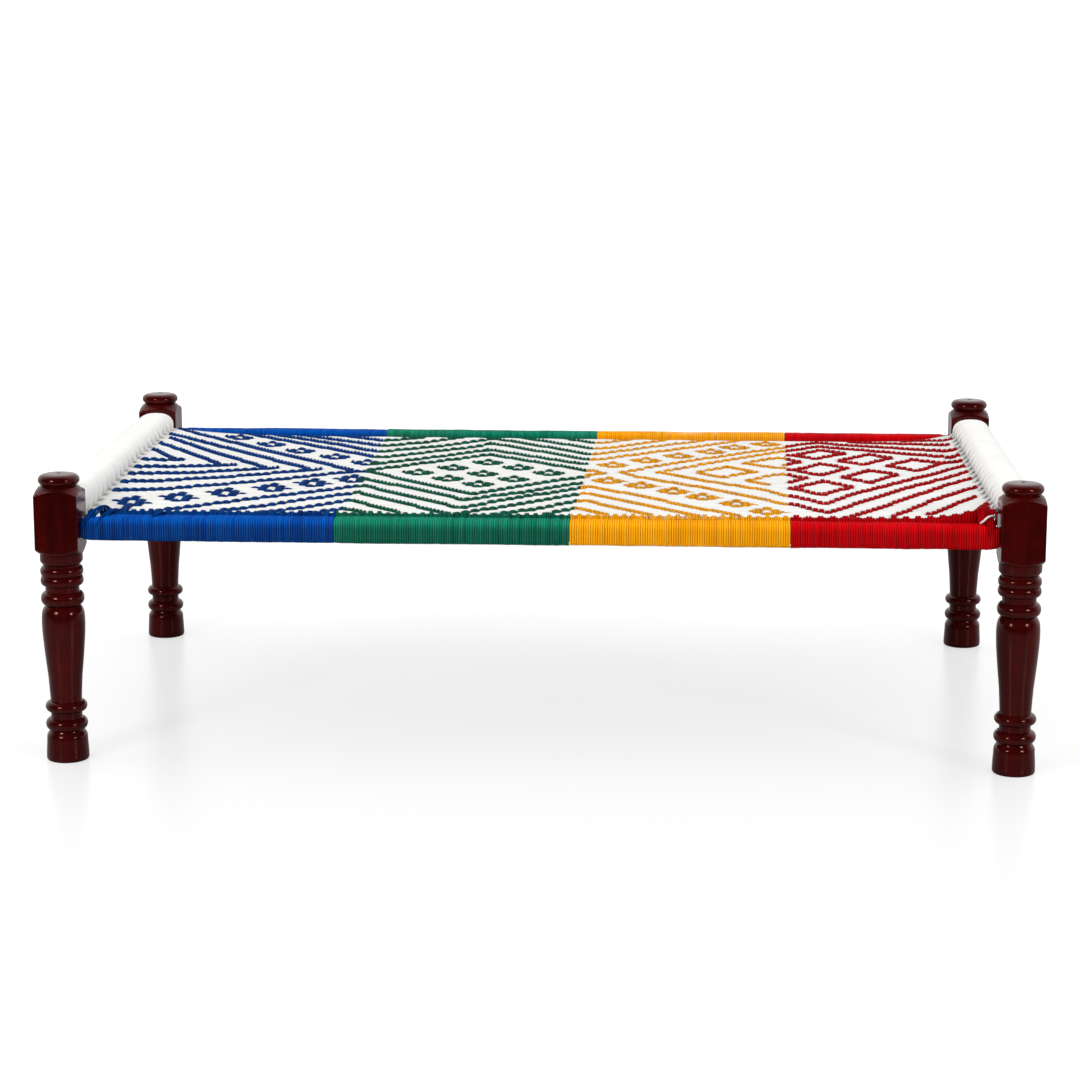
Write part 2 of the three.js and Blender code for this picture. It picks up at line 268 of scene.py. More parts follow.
def grain_group():
    """Wood grain along one direction, from a stretched noise: broad bands, and fine pores."""
    name = "Wood grain"
    if name in bpy.data.node_groups:
        return bpy.data.node_groups[name]
    inputs = {"Stretch": (34.0, 34.0, 3.0), "Pores": 9.0}
    tree, s, given, out = new_group(name, inputs, ("Band", "Pore"))
    place = {0: s.add("ShaderNodeTexCoord").outputs["Object"], 1: given.outputs["Stretch"]}
    stretched = s.add("ShaderNodeVectorMath", place, operation="MULTIPLY").outputs[0]
    bands = s.noise(stretched, 1.0, 4.0, 0.6)
    pores = s.noise(stretched, given.outputs["Pores"], 2.0)
    s.feed(out.inputs["Band"], s.spread(bands, *BAND_EDGES))
    s.feed(out.inputs["Pore"], s.spread(pores, *PORE_EDGES))
    return tree


def new_material(name):
    """A material, its Shading and its Principled surface."""
    material = bpy.data.materials.new(name)
    material.use_nodes = True
    material.node_tree.nodes.clear()
    shading = Shading(material.node_tree)
    surface = shading.add("ShaderNodeBsdfPrincipled")
    output = shading.add("ShaderNodeOutputMaterial")
    shading.feed(output.inputs["Surface"], surface.outputs[0])
    return material, shading, surface


def bump(shading, surface, height, strength, distance):
    """Roughens a surface's normals by a height."""
    inputs = {"Height": height, "Strength": strength, "Distance": distance}
    shading.feed(surface.inputs["Normal"], shading.add("ShaderNodeBump", inputs).outputs["Normal"])


# Colour of the painted shade laid low on the side windings and in the creases beside the rolls
PAINTED_SHADE_COLOUR = (0.007, 0.006, 0.005, 1.0)
# How far each effect may change the colour of a cord: random streaks, fades and flecks, and painted shade
# in the grooves and where cords touch
STREAK_DEEPENING = 0.3
FADE_SHARE, FLECK_SHARE, GROOVE_SHARE = 0.35, 0.3, 0.55
CONTACT_SHADE_DEEPENING = 0.6
# Stretch of the streaks, across neighbouring cords and along them
STREAK_ACROSS, STREAK_ALONG = 230.0, 5.0
CORD_ROUGHNESS = (0.55, 0.75)
CORD_LEVEL = 0.02
# Strength and depth of a surface's relief
CORD_RELIEF, LACQUER_RELIEF, SAWN_RELIEF = (0.6, 0.4 * MM), (0.25, 0.25 * MM), (0.4, 0.3 * MM)


def cord_material(name, colour, deep, pale, lay, across, contact):
    """Twisted cord. deep and pale are the depths of its colour in its grooves, where it is painted shade,
    and on worn places.

    across is the axis across neighbouring cords, each of which has a shade of its own. The contact shade is
    how much deeper the colour is painted where cords touch: painted shade."""
    if name in bpy.data.materials:
        return bpy.data.materials[name]
    material, s, surface = new_material(name)
    twist = s.add("ShaderNodeGroup", node_tree=cord_lay_group())
    twist.inputs["Lay"].default_value = lay
    dye = s.add("ShaderNodeGroup", node_tree=dye_group())
    streaks = s.add("ShaderNodeGroup", node_tree=grain_group())
    streaks.inputs["Stretch"].default_value = [
        STREAK_ACROSS if axis == across else STREAK_ALONG for axis in range(3)]
    streak = deepened(colour, deep + (1 - deep) * STREAK_DEEPENING)
    streaked = s.mix(streaks.outputs["Band"], streak, rgba(colour))
    faded = masked(s, dye.outputs["Fade"], FADE_SHARE, streaked, rgba(colour, pale))
    flecked = masked(s, dye.outputs["Fleck"], FLECK_SHARE, faded, deepened(colour, deep))
    # Painted shade in the grooves between the strands and where cords touch
    grooved = masked(s, twist.outputs["Groove"], GROOVE_SHARE, flecked, deepened(colour, deep))
    contact_shade_colour = deepened(colour, deep * CONTACT_SHADE_DEEPENING)
    shaded = masked(s, twist.outputs["Contact"], contact, grooved, contact_shade_colour)
    # Painted shade, given point by point on the mesh, darkens the colour towards near black
    soil = s.add("ShaderNodeAttribute", attribute_name="soil").outputs["Fac"]
    s.feed(surface.inputs["Base Color"], s.mix(soil, shaded, PAINTED_SHADE_COLOUR))
    s.feed(surface.inputs["Roughness"], s.spread(dye.outputs["Fleck"], 0.0, 1.0, *CORD_ROUGHNESS))
    surface.inputs["Specular IOR Level"].default_value = CORD_LEVEL
    bump(s, surface, twist.outputs["Height"], *CORD_RELIEF)
    return material


# Shades of the stain in the grain, in its blotches and in its pores
GRAIN_SHADES, BLOTCH_SHADE, PORE_SHADE = (0.55, 1.25), 0.4, 0.3
BLOTCH_SIZE = 26.0
BLOTCH_SHARE, PORE_SHARE = 0.45, 0.35
LACQUER_ROUGHNESS = (0.13, 0.19)
LACQUER_LEVEL = 0.42
LACQUER_TINT = (1.0, 0.42, 0.36, 1.0)


def lacquer_material(colour):
    """Red-brown stain under gloss lacquer."""
    name = "stained_lacquer"
    if name in bpy.data.materials:
        return bpy.data.materials[name]
    material, s, surface = new_material(name)
    grain = s.add("ShaderNodeGroup", node_tree=grain_group())
    blotch = s.add("ShaderNodeGroup", node_tree=dye_group())
    blotch.inputs["Patches"].default_value = BLOTCH_SIZE
    banded = s.mix(grain.outputs["Band"], *(rgba(colour, shade) for shade in GRAIN_SHADES))
    stained = masked(s, blotch.outputs["Fade"], BLOTCH_SHARE, banded, rgba(colour, BLOTCH_SHADE))
    pored = masked(s, grain.outputs["Pore"], PORE_SHARE, stained, rgba(colour, PORE_SHADE))
    s.feed(surface.inputs["Base Color"], pored)
    s.feed(surface.inputs["Roughness"], s.spread(blotch.outputs["Fleck"], 0.0, 1.0, *LACQUER_ROUGHNESS))
    surface.inputs["Specular IOR Level"].default_value = LACQUER_LEVEL
    surface.inputs["Specular Tint"].default_value = LACQUER_TINT
    waviness = s.math("ADD", s.math("MULTIPLY", grain.outputs["Band"], 0.5), blotch.outputs["Fade"])
    bump(s, surface, waviness, *LACQUER_RELIEF)
    return material


SAWN_STRETCH = (6.0, 40.0, 60.0)
SAWN_SHADES, SAWN_ROUGHNESS = (0.6, 1.2), (0.6, 0.8)


def sawn_material(colour):
    """Plain sawn wood, with its grain along the rails."""
    name = "sawn_rail_wood"
    if name in bpy.data.materials:
        return bpy.data.materials[name]
    material, s, surface = new_material(name)
    grain = s.add("ShaderNodeGroup", node_tree=grain_group())
    grain.inputs["Stretch"].default_value = SAWN_STRETCH
    banded = s.mix(grain.outputs["Band"], *(rgba(colour, shade) for shade in SAWN_SHADES))
    s.feed(surface.inputs["Base Color"], banded)
    s.feed(surface.inputs["Roughness"], s.spread(grain.outputs["Pore"], 0.0, 1.0, *SAWN_ROUGHNESS))
    bump(s, surface, grain.outputs["Pore"], *SAWN_RELIEF)
    return material


# Meshes


def build_mesh(name, points, faces, round_share=None, soil=None):
    """A smooth mesh object. faces is a list of (n, k) arrays of corners, k corners to a face.

    round_share, where given, is the place of each corner along and round its cord, and the last argument,
    where given, how much painted shade lies at each point."""
    mesh = bpy.data.meshes.new(name)
    corners = np.concatenate([part.ravel() for part in faces])
    counts = np.concatenate([np.full(len(part), part.shape[1]) for part in faces])
    starts = np.concatenate([[0], np.cumsum(counts)[:-1]])
    mesh.vertices.add(len(points))
    mesh.vertices.foreach_set("co", points.astype(np.float32).ravel())
    mesh.loops.add(len(corners))
    mesh.loops.foreach_set("vertex_index", corners.astype(np.int32))
    mesh.polygons.add(len(counts))
    mesh.polygons.foreach_set("loop_start", starts.astype(np.int32))
    mesh.update(calc_edges=True)
    mesh.polygons.foreach_set("use_smooth", np.ones(len(counts), bool))
    if round_share is not None:
        layer = mesh.uv_layers.new(name="cord")
        layer.data.foreach_set("uv", round_share.astype(np.float32).ravel())
    if soil is not None:
        shade_layer = mesh.attributes.new("soil", "FLOAT", "POINT")
        shade_layer.data.foreach_set("value", soil.astype(np.float32))
    mesh.validate()
    piece = bpy.data.objects.new(name, mesh)
    bpy.context.scene.collection.objects.link(piece)
    return piece


def fit_out(piece, material, slot_name, *nodes):
    """Gives a piece its material and its body, and hides the nodes that it stands for. The slot name is not
    used.
    """
    piece.data.materials.append(material)
    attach(piece, BODY)
    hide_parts(*nodes)
    return piece


def unit(vectors):
    """Vectors of the same directions and of length 1."""
    return vectors / np.linalg.norm(vectors, axis=-1, keepdims=True)


def cord_rings(path, outward, half_width, half_height, corners):
    """Rings of points round a path. outward says which way the cord's flat side faces."""
    tangent = unit(np.gradient(path, axis=0))
    out = unit(outward - (outward * tangent).sum(1, keepdims=True) * tangent)
    side = np.cross(tangent, out)
    angles = (np.arange(corners) + 0.5) / corners * 2 * np.pi
    wide = np.broadcast_to(half_width, len(path))[:, None, None]
    high = np.broadcast_to(half_height, len(path))[:, None, None]
    return (
        path[:, None]
        + side[:, None] * np.cos(angles)[None, :, None] * wide
        + out[:, None] * np.sin(angles)[None, :, None] * high
    )


def cord_piece(name, cords, soil=None):
    """One mesh of many closed cords, each an array of rings. The last argument gives the painted shade on
    each point.
    """
    points, sides, side_places, caps, cap_places = [], [], [], [], []
    first = 0
    for rings in cords:
        count, corners, _ = rings.shape
        middles = rings.mean(1)
        along = np.concatenate([[0], np.cumsum(np.linalg.norm(np.diff(middles, axis=0), axis=1))])
        number = first + np.arange(count * corners).reshape(count, corners)
        after = np.roll(number, -1, axis=1)
        quads = np.stack([number[:-1], number[1:], after[1:], after[:-1]], -1)
        start = np.broadcast_to((np.arange(corners) + 0.5) / corners, (count - 1, corners))
        near = np.broadcast_to(along[:-1, None], (count - 1, corners))
        far = np.broadcast_to(along[1:, None], (count - 1, corners))
        step = 1 / corners
        places = np.stack([
            np.stack([near, start], -1), np.stack([far, start], -1),
            np.stack([far, start + step], -1), np.stack([near, start + step], -1),
        ], 2)
        points.append(rings.reshape(-1, 3))
        sides.append(quads.reshape(-1, 4))
        side_places.append(places.reshape(-1, 2))
        caps.append(np.stack([number[0], number[-1, ::-1]]))
        ends = np.repeat([along[0], along[-1]], corners)
        cap_places.append(np.stack([ends, np.zeros(2 * corners)], -1))
        first += count * corners
    faces = [np.concatenate(sides), np.concatenate(caps)]
    places = np.concatenate(side_places + cap_places)
    return build_mesh(name, np.concatenate(points), faces, places, soil)


def drift(random, count, size, reach):
    """Smooth random numbers about zero: count of them, up to about size, with a bend every reach."""
    knots = random.normal(0.0, size / 2, max(4, count // reach + 2))
    return np.interp(np.linspace(0, len(knots) - 1, count), np.arange(len(knots)), knots)


# Legs

LEG_LOW, LEG_HIGH = box_of("leg_front_left")
LEG_HALF = (LEG_HIGH[0] - LEG_LOW[0]) / 2
LEG_HEIGHT = LEG_HIGH[2]
TURNED_RADIUS = 39.8 * MM
FOOT = 58.5 * MM
LOW_BEAD = 21.5 * MM
COVE = 12 * MM
HIGH_BEAD = 20 * MM
VASE = 183 * MM
RING = 25 * MM
NECK = 11 * MM
LOW_ROLL = 19 * MM
HIGH_ROLL = 18 * MM
GROOVE = 3 * MM
COLLAR = 21 * MM
CONE = 12 * MM
BLOCK = 99 * MM
SHOULDER = 15 * MM
KNOB_NECK = 2 * MM
KNOB = 20 * MM
# The largest radii of the foot, the knob and the collar, as shares of the turned radius
FOOT_REACH, KNOB_REACH, COLLAR_REACH = 0.985, 0.955, 0.985
# Outlines of the turned parts: (share of the height, share of the radius)
FOOT_SHARES = ((0, 0.93), (0.015, 0.965), (0.06, 1), (0.2, 1), (0.4, 0.985), (0.62, 0.965),
               (0.78, 0.955), (0.84, 0.93), (0.9, 0.87), (0.96, 0.81))
VASE_SHARES = ((0, 0.72), (0.12, 0.75), (0.26, 0.79), (0.38, 0.85), (0.5, 0.905), (0.6, 0.945),
               (0.68, 0.975), (0.76, 0.994), (0.82, 1), (0.87, 0.995), (0.91, 0.978), (0.94, 0.95),
               (0.965, 0.905), (0.985, 0.84), (1, 0.78))
COLLAR_SHARES = ((0, 0.85), (0.12, 0.9), (0.3, 0.975), (0.42, COLLAR_REACH), (1, COLLAR_REACH))
KNOB_SHARES = ((0, 0.85), (0.06, 0.9), (0.14, 0.945), (0.26, 0.985), (0.4, 1), (0.54, 0.994),
               (0.66, 0.972), (0.77, 0.93), (0.86, 0.87), (0.92, 0.8), (0.955, 0.72), (0.975, 0.6))
PIP = 2.5 * MM
# Radii of the groove below a bead, of the bead and of the groove above it, as shares
LOW_BEAD_RADII = (0.79, 0.97, 0.72)
HIGH_BEAD_RADII = (0.72, 0.965, 0.72)
RING_RADII = (0.78, 1, 0.78)
LOW_ROLL_RADII = (0.78, 0.99, 0.88)
HIGH_ROLL_RADII = (0.88, 0.99, 0.85)
# Radii from the shoulder in to the knob's neck
NECK_RADII = (0.95, 0.87, 0.85)
# Rows up the cone, the block and the shoulder, as shares of each
CONE_ROWS = (0.35, 0.75, 0.93)
BLOCK_ROWS = (0.03, 0.25, 0.5, 0.75, 0.97)
SHOULDER_ROWS = (0.1, 0.5, 1.0)
BEAD_STEPS = 12
EDGE = 1.1 * MM
CORNER_ROUNDING = 2.2 * MM
FACE_STEPS = 15
CORNER_STEPS = 4


def bead(bottom, height, radii):
    """Points of a bead, from the groove below it to the groove above."""
    below, radius, above = (share * TURNED_RADIUS for share in radii)
    angles = np.linspace(0, np.pi, BEAD_STEPS + 1)
    groove = np.where(angles < np.pi / 2, below, above)
    radii = groove + (radius - groove) * np.sin(angles)
    return list(zip(bottom + height / 2 * (1 - np.cos(angles)), radii))


def turned_outline():
    """Heights and radii of the turned part of a leg below its block."""
    r = TURNED_RADIUS
    points = [(high * FOOT, share * FOOT_REACH * r) for high, share in FOOT_SHARES]
    z = FOOT
    points += bead(z, LOW_BEAD, LOW_BEAD_RADII)
    z += LOW_BEAD + COVE
    points += bead(z, HIGH_BEAD, HIGH_BEAD_RADII)
    z += HIGH_BEAD
    points += [(z + high * VASE, share * r) for high, share in VASE_SHARES[1:]]
    z += VASE
    points += bead(z, RING, RING_RADII)[1:]
    z += RING + NECK
    points += bead(z, LOW_ROLL, LOW_ROLL_RADII)
    z += LOW_ROLL
    points += bead(z, HIGH_ROLL, HIGH_ROLL_RADII)[1:]
    z += HIGH_ROLL + GROOVE
    points += [(z + COLLAR * high, share * r) for high, share in COLLAR_SHARES]
    return points


def face_angles():
    """Directions round a leg, closer together at its square corners."""
    flat = 1 - CORNER_ROUNDING / LEG_HALF
    face = np.linspace(-flat + 0.03, flat - 0.03, FACE_STEPS)
    shares = np.concatenate([[-flat - 0.004], face, [flat + 0.004]])
    on_face = np.arctan(shares)
    corner = np.linspace(on_face[-1], np.pi / 2 + on_face[0], CORNER_STEPS + 2)[1:-1]
    quarter = np.concatenate([on_face, corner])
    return np.concatenate([quarter + turn * np.pi / 2 for turn in range(4)])


def square_reach(angles):
    """Distance from a leg's middle to the faces of its block."""
    across, along = np.abs(np.cos(angles)), np.abs(np.sin(angles))
    larger, smaller = np.maximum(across, along), np.minimum(across, along)
    inner = LEG_HALF - CORNER_ROUNDING
    dot = inner * (across + along)
    on_corner = dot + np.sqrt(np.maximum(dot ** 2 - 2 * inner ** 2 + CORNER_ROUNDING ** 2, 0))
    return np.where(LEG_HALF * smaller / larger > inner, on_corner, LEG_HALF / larger)


def leg_rows(angles):
    """Rows of heights and radii round a leg, from its foot to its knob."""
    even = np.ones(len(angles))
    square = square_reach(angles)
    corner = LEG_HALF * math.sqrt(2)
    rows = [(z * even, radius * even) for z, radius in turned_outline()]
    collar_radius = rows[-1][1]
    cone_bottom = rows[-1][0][0]
    block_bottom = cone_bottom + CONE
    block_top = block_bottom + BLOCK
    low_edge = cone_bottom + CONE * (square - collar_radius) / (corner - collar_radius)
    for share in CONE_ROWS:
        height = cone_bottom + (low_edge - cone_bottom) * share
        rows.append((height, collar_radius + (square - collar_radius) * share))
    rows.append((low_edge, square - EDGE * 0.3))
    rows.append((low_edge + EDGE * 0.8, square))
    shoulder_middle = block_top + SHOULDER * 2 / 3
    high_edge = block_top + (shoulder_middle - block_top) * (corner - square) / (corner - LEG_HALF)
    bottom, top = low_edge + EDGE * 0.8, high_edge - EDGE * 0.8
    for share in BLOCK_ROWS:
        rows.append((bottom + (top - bottom) * share, square))
    rows.append((high_edge - EDGE * 0.8, square))
    rows.append((high_edge, square - EDGE * 0.35))
    for share in SHOULDER_ROWS:
        height = high_edge + EDGE * 0.3 + (shoulder_middle - high_edge) * share
        rows.append((height, square - EDGE * 0.6 + (LEG_HALF - square) * share))
    top = block_top + SHOULDER
    neck_heights = ((shoulder_middle + top) / 2 * even, top * even, top * even + 0.2 * MM)
    rows += [(z, share * TURNED_RADIUS * even) for z, share in zip(neck_heights, NECK_RADII)]
    bottom = top + KNOB_NECK
    for high, share in KNOB_SHARES:
        rows.append(((bottom + high * KNOB) * even, share * KNOB_REACH * TURNED_RADIUS * even))
    # The knob's flat top, and the mark of the lathe's point in its middle
    tops = ((0.15, 0.3 * TURNED_RADIUS), (0.05, PIP + 0.6 * MM), (0.4, PIP), (1.6, PIP * 0.7))
    rows += [(LEG_HEIGHT * even - drop * MM, radius * even) for drop, radius in tops]
    return rows


def leg_piece(name, middle):
    """One leg, standing at a middle."""
    angles = face_angles()
    count = len(angles)
    rows = leg_rows(angles)
    rings = np.stack([
        np.stack([radii * np.cos(angles), radii * np.sin(angles), heights], -1)
        for heights, radii in rows
    ])
    number = np.arange(len(rows) * count).reshape(len(rows), count)
    after = np.roll(number, -1, axis=1)
    quads = np.stack([number[:-1], after[:-1], after[1:], number[1:]], -1).reshape(-1, 4)
    points = rings.reshape(-1, 3)
    low, high = len(points), len(points) + 1
    points = np.concatenate([points, [[0, 0, 0], [0, 0, LEG_HEIGHT - 1.7 * MM]]])
    bottom = np.stack([np.full(count, low), after[0], number[0]], -1)
    top = np.stack([np.full(count, high), number[-1], after[-1]], -1)
    points = points + np.array([middle[0], middle[1], 0])
    piece = build_mesh(name, points, [quads, np.concatenate([bottom, top])])
    piece.data.set_sharp_from_angle(angle=math.radians(38))
    return piece


class CHARPAI_OT_legs(Operator):
    """Turns the four legs, with their square blocks and flat knobs"""
    bl_idname = "charpai.legs"
    bl_label = "Legs"

    def execute(self, context):
        material = lacquer_material(context.scene.charpai_colours.leg_wood)
        for rail, _ in SIDES:
            for end, _ in ENDS:
                node = f"leg_{rail}_{end}"
                fit_out(leg_piece(f"turned_{node}", middle_of(node)), material, "leg_wood", node)
        return {"FINISHED"}


# Rails

RAIL_END_TAPER = 24 * MM
# From the end of a tenon to its shoulder, and the gap there
TENON_LENGTH, SHOULDER_GAP = 58 * MM, 0.3 * MM
# Half the thickness of a tenon, and half the height of those of the side and the end rails
TENON_ACROSS, TENON_HEIGHTS = 14 * MM, (11 * MM, 12 * MM)
# How far the corners of a tenon and of a rail are cut, as a share
TENON_EASE, RAIL_EASE = 0.1, 0.25
# Size of a rail where it meets its shoulder
RAIL_END_SHARE = 0.72


def rail_piece(name, node, axis, slimmer):
    """A rail under its winding: the node's own body and tenons, eased at the ends of the body."""
    low, high = box_of(node)
    block = LEG_HIGH[axis] - LEG_LOW[axis]
    middle = (low + high) / 2
    across = 1 - axis
    half_across = (high[across] - low[across]) / 2 - slimmer
    half_up = (high[2] - low[2]) / 2 - slimmer
    tenon_up = TENON_HEIGHTS[axis]
    tenon_z = low[2] + tenon_up if axis == 0 else middle[2]
    reach = high[axis] - TENON_LENGTH - SHOULDER_GAP
    stations = [
        (reach + block * 0.7, TENON_ACROSS, tenon_up), (reach, TENON_ACROSS, tenon_up),
        (reach - 1 * MM, half_across * RAIL_END_SHARE, half_up * RAIL_END_SHARE),
        (reach - RAIL_END_TAPER, half_across, half_up),
    ]
    stations = [(-at, wide, tall) for at, wide, tall in stations] + stations[::-1]
    rings = []
    for at, wide, tall in stations:
        is_tenon = abs(at) >= reach
        z = tenon_z if is_tenon else middle[2]
        kept = 1 - (TENON_EASE if is_tenon else RAIL_EASE)
        outline = [
            (-wide, -tall * kept), (-wide, tall * kept), (-wide * kept, tall), (wide * kept, tall),
            (wide, tall * kept), (wide, -tall * kept), (wide * kept, -tall), (-wide * kept, -tall),
        ]
        ring = np.zeros((8, 3))
        ring[:, axis] = at
        ring[:, across] = middle[across] + np.array([point[0] for point in outline])
        ring[:, 2] = z + np.array([point[1] for point in outline])
        rings.append(ring)
    rings = np.array(rings)
    if axis == 0:
        rings = rings[:, ::-1]
    piece = cord_piece(name, [rings])
    piece.data.set_sharp_from_angle(angle=math.radians(30))
    return piece


class CHARPAI_OT_rails(Operator):
    """Makes the sawn rails that the windings hide, with their tenons"""
    bl_idname = "charpai.rails"
    bl_label = "Rails"

    def execute(self, context):
        material = sawn_material(context.scene.charpai_colours.rail_wood)
        for rail, _ in SIDES:
            node = f"side_rail_{rail}"
            fit_out(rail_piece(f"sawn_{node}", node, 0, 2 * MM), material, "rail_wood", node)
        for end, _ in ENDS:
            node = f"end_rail_{end}"
            fit_out(rail_piece(f"sawn_{node}", node, 1, 0.5 * MM), material, "rail_wood", node)
        return {"FINISHED"}


# Windings

SIDE_CORNER = 6.5 * MM
OUTER_CORNER = 12 * MM
WRAP_TOP = box_of("side_wrap_front_blue")[1][2]
# The last turns of a side winding slump beside the block: over what run, how far and towards what height
END_SLUMP, SLUMP_SHARE, SLUMP_HEIGHT = 25 * MM, 0.45, -9 * MM
# Waves in which turns stand proud: their size, as a share of the unevenness, and the turns between bends
SIDE_WAVES = ((1.4, 1), (3.2, 13))
ROLL_WAVES = ((1.2, 3), (3, 31))
# How unevenly the bundles press a roll, and the turns between bends
PRESS_DRIFT = (0.3, 4)
# The side windings are painted darker lower down, as shade: how dark, and how far down it starts and comes
# in
SIDE_PAINTED_SHADE = {"blue": 0.5, "green": 0.5, "yellow": 0.08, "red": 0.27}
UNSHADED_EDGE, SHADE_FADE = 3 * MM, 13 * MM
# How deep the wound cord's colour is in its grooves, where it is painted shade, and in its flecks and
# streaks
WOUND_DEEPS = {"blue": 0.5, "green": 0.5, "yellow": 0.8, "red": 0.55}


def rounded_section(half_width, half_height, rounding, outer_rounding, side_points, corner_points):
    """Points and outward directions round a section with rounded corners, from its inner foot.

    outer_rounding is the radius of the upper corner on the outer side."""
    points, outward = [], []
    corners = (
        (half_width - rounding, rounding - half_height, -90, rounding),
        (half_width - rounding, half_height - rounding, 0, rounding),
        (outer_rounding - half_width, half_height - outer_rounding, 90, outer_rounding),
        (rounding - half_width, rounding - half_height, 180, rounding),
    )
    for number, (across, up, first, radius) in enumerate(corners):
        for angle in np.radians(np.linspace(first, first + 90, corner_points)):
            direction = (math.cos(angle), math.sin(angle))
            points.append((across + radius * direction[0], up + radius * direction[1]))
            outward.append(direction)
        onward = corners[(number + 1) % 4]
        angle = math.radians(first + 90)
        direction = np.array((math.cos(angle), math.sin(angle)))
        start, end = np.array(points[-1]), np.array(onward[:2]) + onward[3] * direction
        for share in np.linspace(0, 1, side_points + 2)[1:-1]:
            points.append(tuple(start + (end - start) * share))
            outward.append(tuple(direction))
    return np.array(points), np.array(outward)


def wound_path(section, outward, start, end, cord, carrying):
    """The middle line of a cord wound closely on a section, as places along, across and up.

    Each turn lies square to the rail but for its last steps, which carry it on to the next turn."""
    turns = max(2, round((end - start) / cord))
    pitch = (end - start) / turns
    count = len(section)
    steps = np.arange(turns * count - carrying + 1)
    turn, step = steps // count, steps % count
    carried = np.maximum(0, step - (count - carrying)) / carrying
    along = start + pitch * (turn + 0.5 + carried)
    place = section[step]
    path = np.column_stack([along, place])
    return path, np.column_stack([np.zeros(len(steps)), outward[step]]), turn


def stray_turns(path, turn, random, unevenness, waves):
    """Moves each turn of a path a little along its rail, and returns how far its places stand proud."""
    turns = turn[-1] + 1
    path[:, 0] += drift(random, turns, unevenness, 2)[turn]
    return sum(drift(random, turns, size * unevenness, reach) for size, reach in waves)[turn]


def bell(distance, width):
    """1 where a distance is nothing, and less away from there."""
    return np.exp(-(distance / width) ** 2)


def side_wrap_piece(rail, side_y, colour, cords, random):
    """One colour's length of cord, wound on a side rail."""
    node = f"side_wrap_{rail}_{colour}"
    low, high = box_of(node)
    middle = (low + high) / 2
    cord = cords.side_cord
    half_width, half_height = (high[1] - low[1] - cord) / 2, (high[2] - low[2] - cord) / 2
    section, outward = rounded_section(
        half_width, half_height, SIDE_CORNER - cord / 2, OUTER_CORNER - cord / 2, 3, 4)
    path, out, turn = wound_path(section, outward, low[0], high[0], cord, 3)
    proud = stray_turns(path, turn, random, cords.unevenness, SIDE_WAVES)
    path[:, 1:] += out[:, 1:] * proud[:, None]
    reach = -LEG_HIGH[0]
    from_block = np.minimum(path[:, 0] + reach, reach - path[:, 0])
    fall = np.clip(1 - from_block / END_SLUMP, 0, 1)
    shrink = 1 - SLUMP_SHARE * (1 - np.sqrt(1 - fall ** 2))
    pulled_to = np.array([0, SLUMP_HEIGHT])
    path[:, 1:] = pulled_to + (path[:, 1:] - pulled_to) * shrink[:, None]
    path[:, 1] = side_y * -path[:, 1]
    out[:, 1] = side_y * -out[:, 1]
    path += np.array([0, middle[1], middle[2]])
    if side_y > 0:
        path, out = path[::-1], out[::-1]
    rings = cord_rings(path, out, cord * 0.5, cord * 0.5, 8)
    # Painted shade, darker the further a point lies below the winding's top
    below = WRAP_TOP - rings[..., 2].ravel()
    soil = SIDE_PAINTED_SHADE[colour] * np.clip((below - UNSHADED_EDGE) / SHADE_FADE, 0, 1)
    return cord_piece(f"wound_{node}", [rings], soil)


class CHARPAI_OT_side_wraps(Operator):
    """Winds four lengths of coloured cord on each side rail"""
    bl_idname = "charpai.side_wraps"
    bl_label = "Side windings"

    def execute(self, context):
        scene = context.scene
        random = np.random.default_rng(SEEDS["side_wraps"])
        for rail, side_y in SIDES:
            for colour in COLOURS:
                material = cord_material(
                    f"wound_{colour}_cord", getattr(scene.charpai_colours, colour),
                    deep=WOUND_DEEPS[colour], pale=1.3, lay=scene.charpai_cords.lay, across=0, contact=0.8)
                piece = side_wrap_piece(rail, side_y, colour, scene.charpai_cords, random)
                fit_out(piece, material, f"cord_{colour}", f"side_wrap_{rail}_{colour}")
        return {"FINISHED"}


def at_rib_edge(y):
    """How near places along a roll lie to a gap between bundles of lengthwise cords: 1 there, 0 halfway."""
    low, high = box_of("warp_white")
    rib = (high[1] - low[1]) / LENGTHWISE_ROWS * BUNDLES_TO_A_RIB
    return np.abs(((y - low[1]) / rib) % 1 - 0.5) * 2


def top_level():
    """Height of the middle of the woven top, away from the rolls."""
    return (box_of("warp_white")[1][2] + box_of("weft_blue")[0][2]) / 2 + RAISED


# How deep the grooves between the bundles are on each roll
RIB_DEPTHS = {"left": 1.6 * MM, "right": 5.0 * MM}
# How much painted shade lies in the crease where they part, for the shadow between the bundles, and how
# wide it lies, as a share of half a bundle
RIB_PAINTED_SHADE = {"left": 0.5, "right": 1.0}
RIB_SHADE_WIDTH = 0.34
# A roll's section: how many points it has, and its squareness, of which 2 is an ellipse
ROLL_POINTS, ROLL_SQUARENESS = 28, 2.6
# Half the width and half the height of a roll's cord, as shares, and its sides
ROLL_CORD, ROLL_CORD_SIDES = (0.54, 0.5), 7
# Where round a roll, in radians above its inner side, the top's cords press: their middle and their width
INNER_PRESS, SHOULDER_PRESS = (-0.55, 0.75), (0.15, 0.6)
INNER_DEPTH = 2.5 * MM
RIB_GROOVE_WIDTH = 0.25
# How far the last turns of a roll slump beside the blocks, and over what run
ROLL_SLUMP, ROLL_SLUMP_RUN = 3 * MM, 6 * MM
# The painted shade lies this far above the woven top, in a crease of this width.
CREASE_HEIGHT, CREASE_WIDTH = 4 * MM, 7 * MM


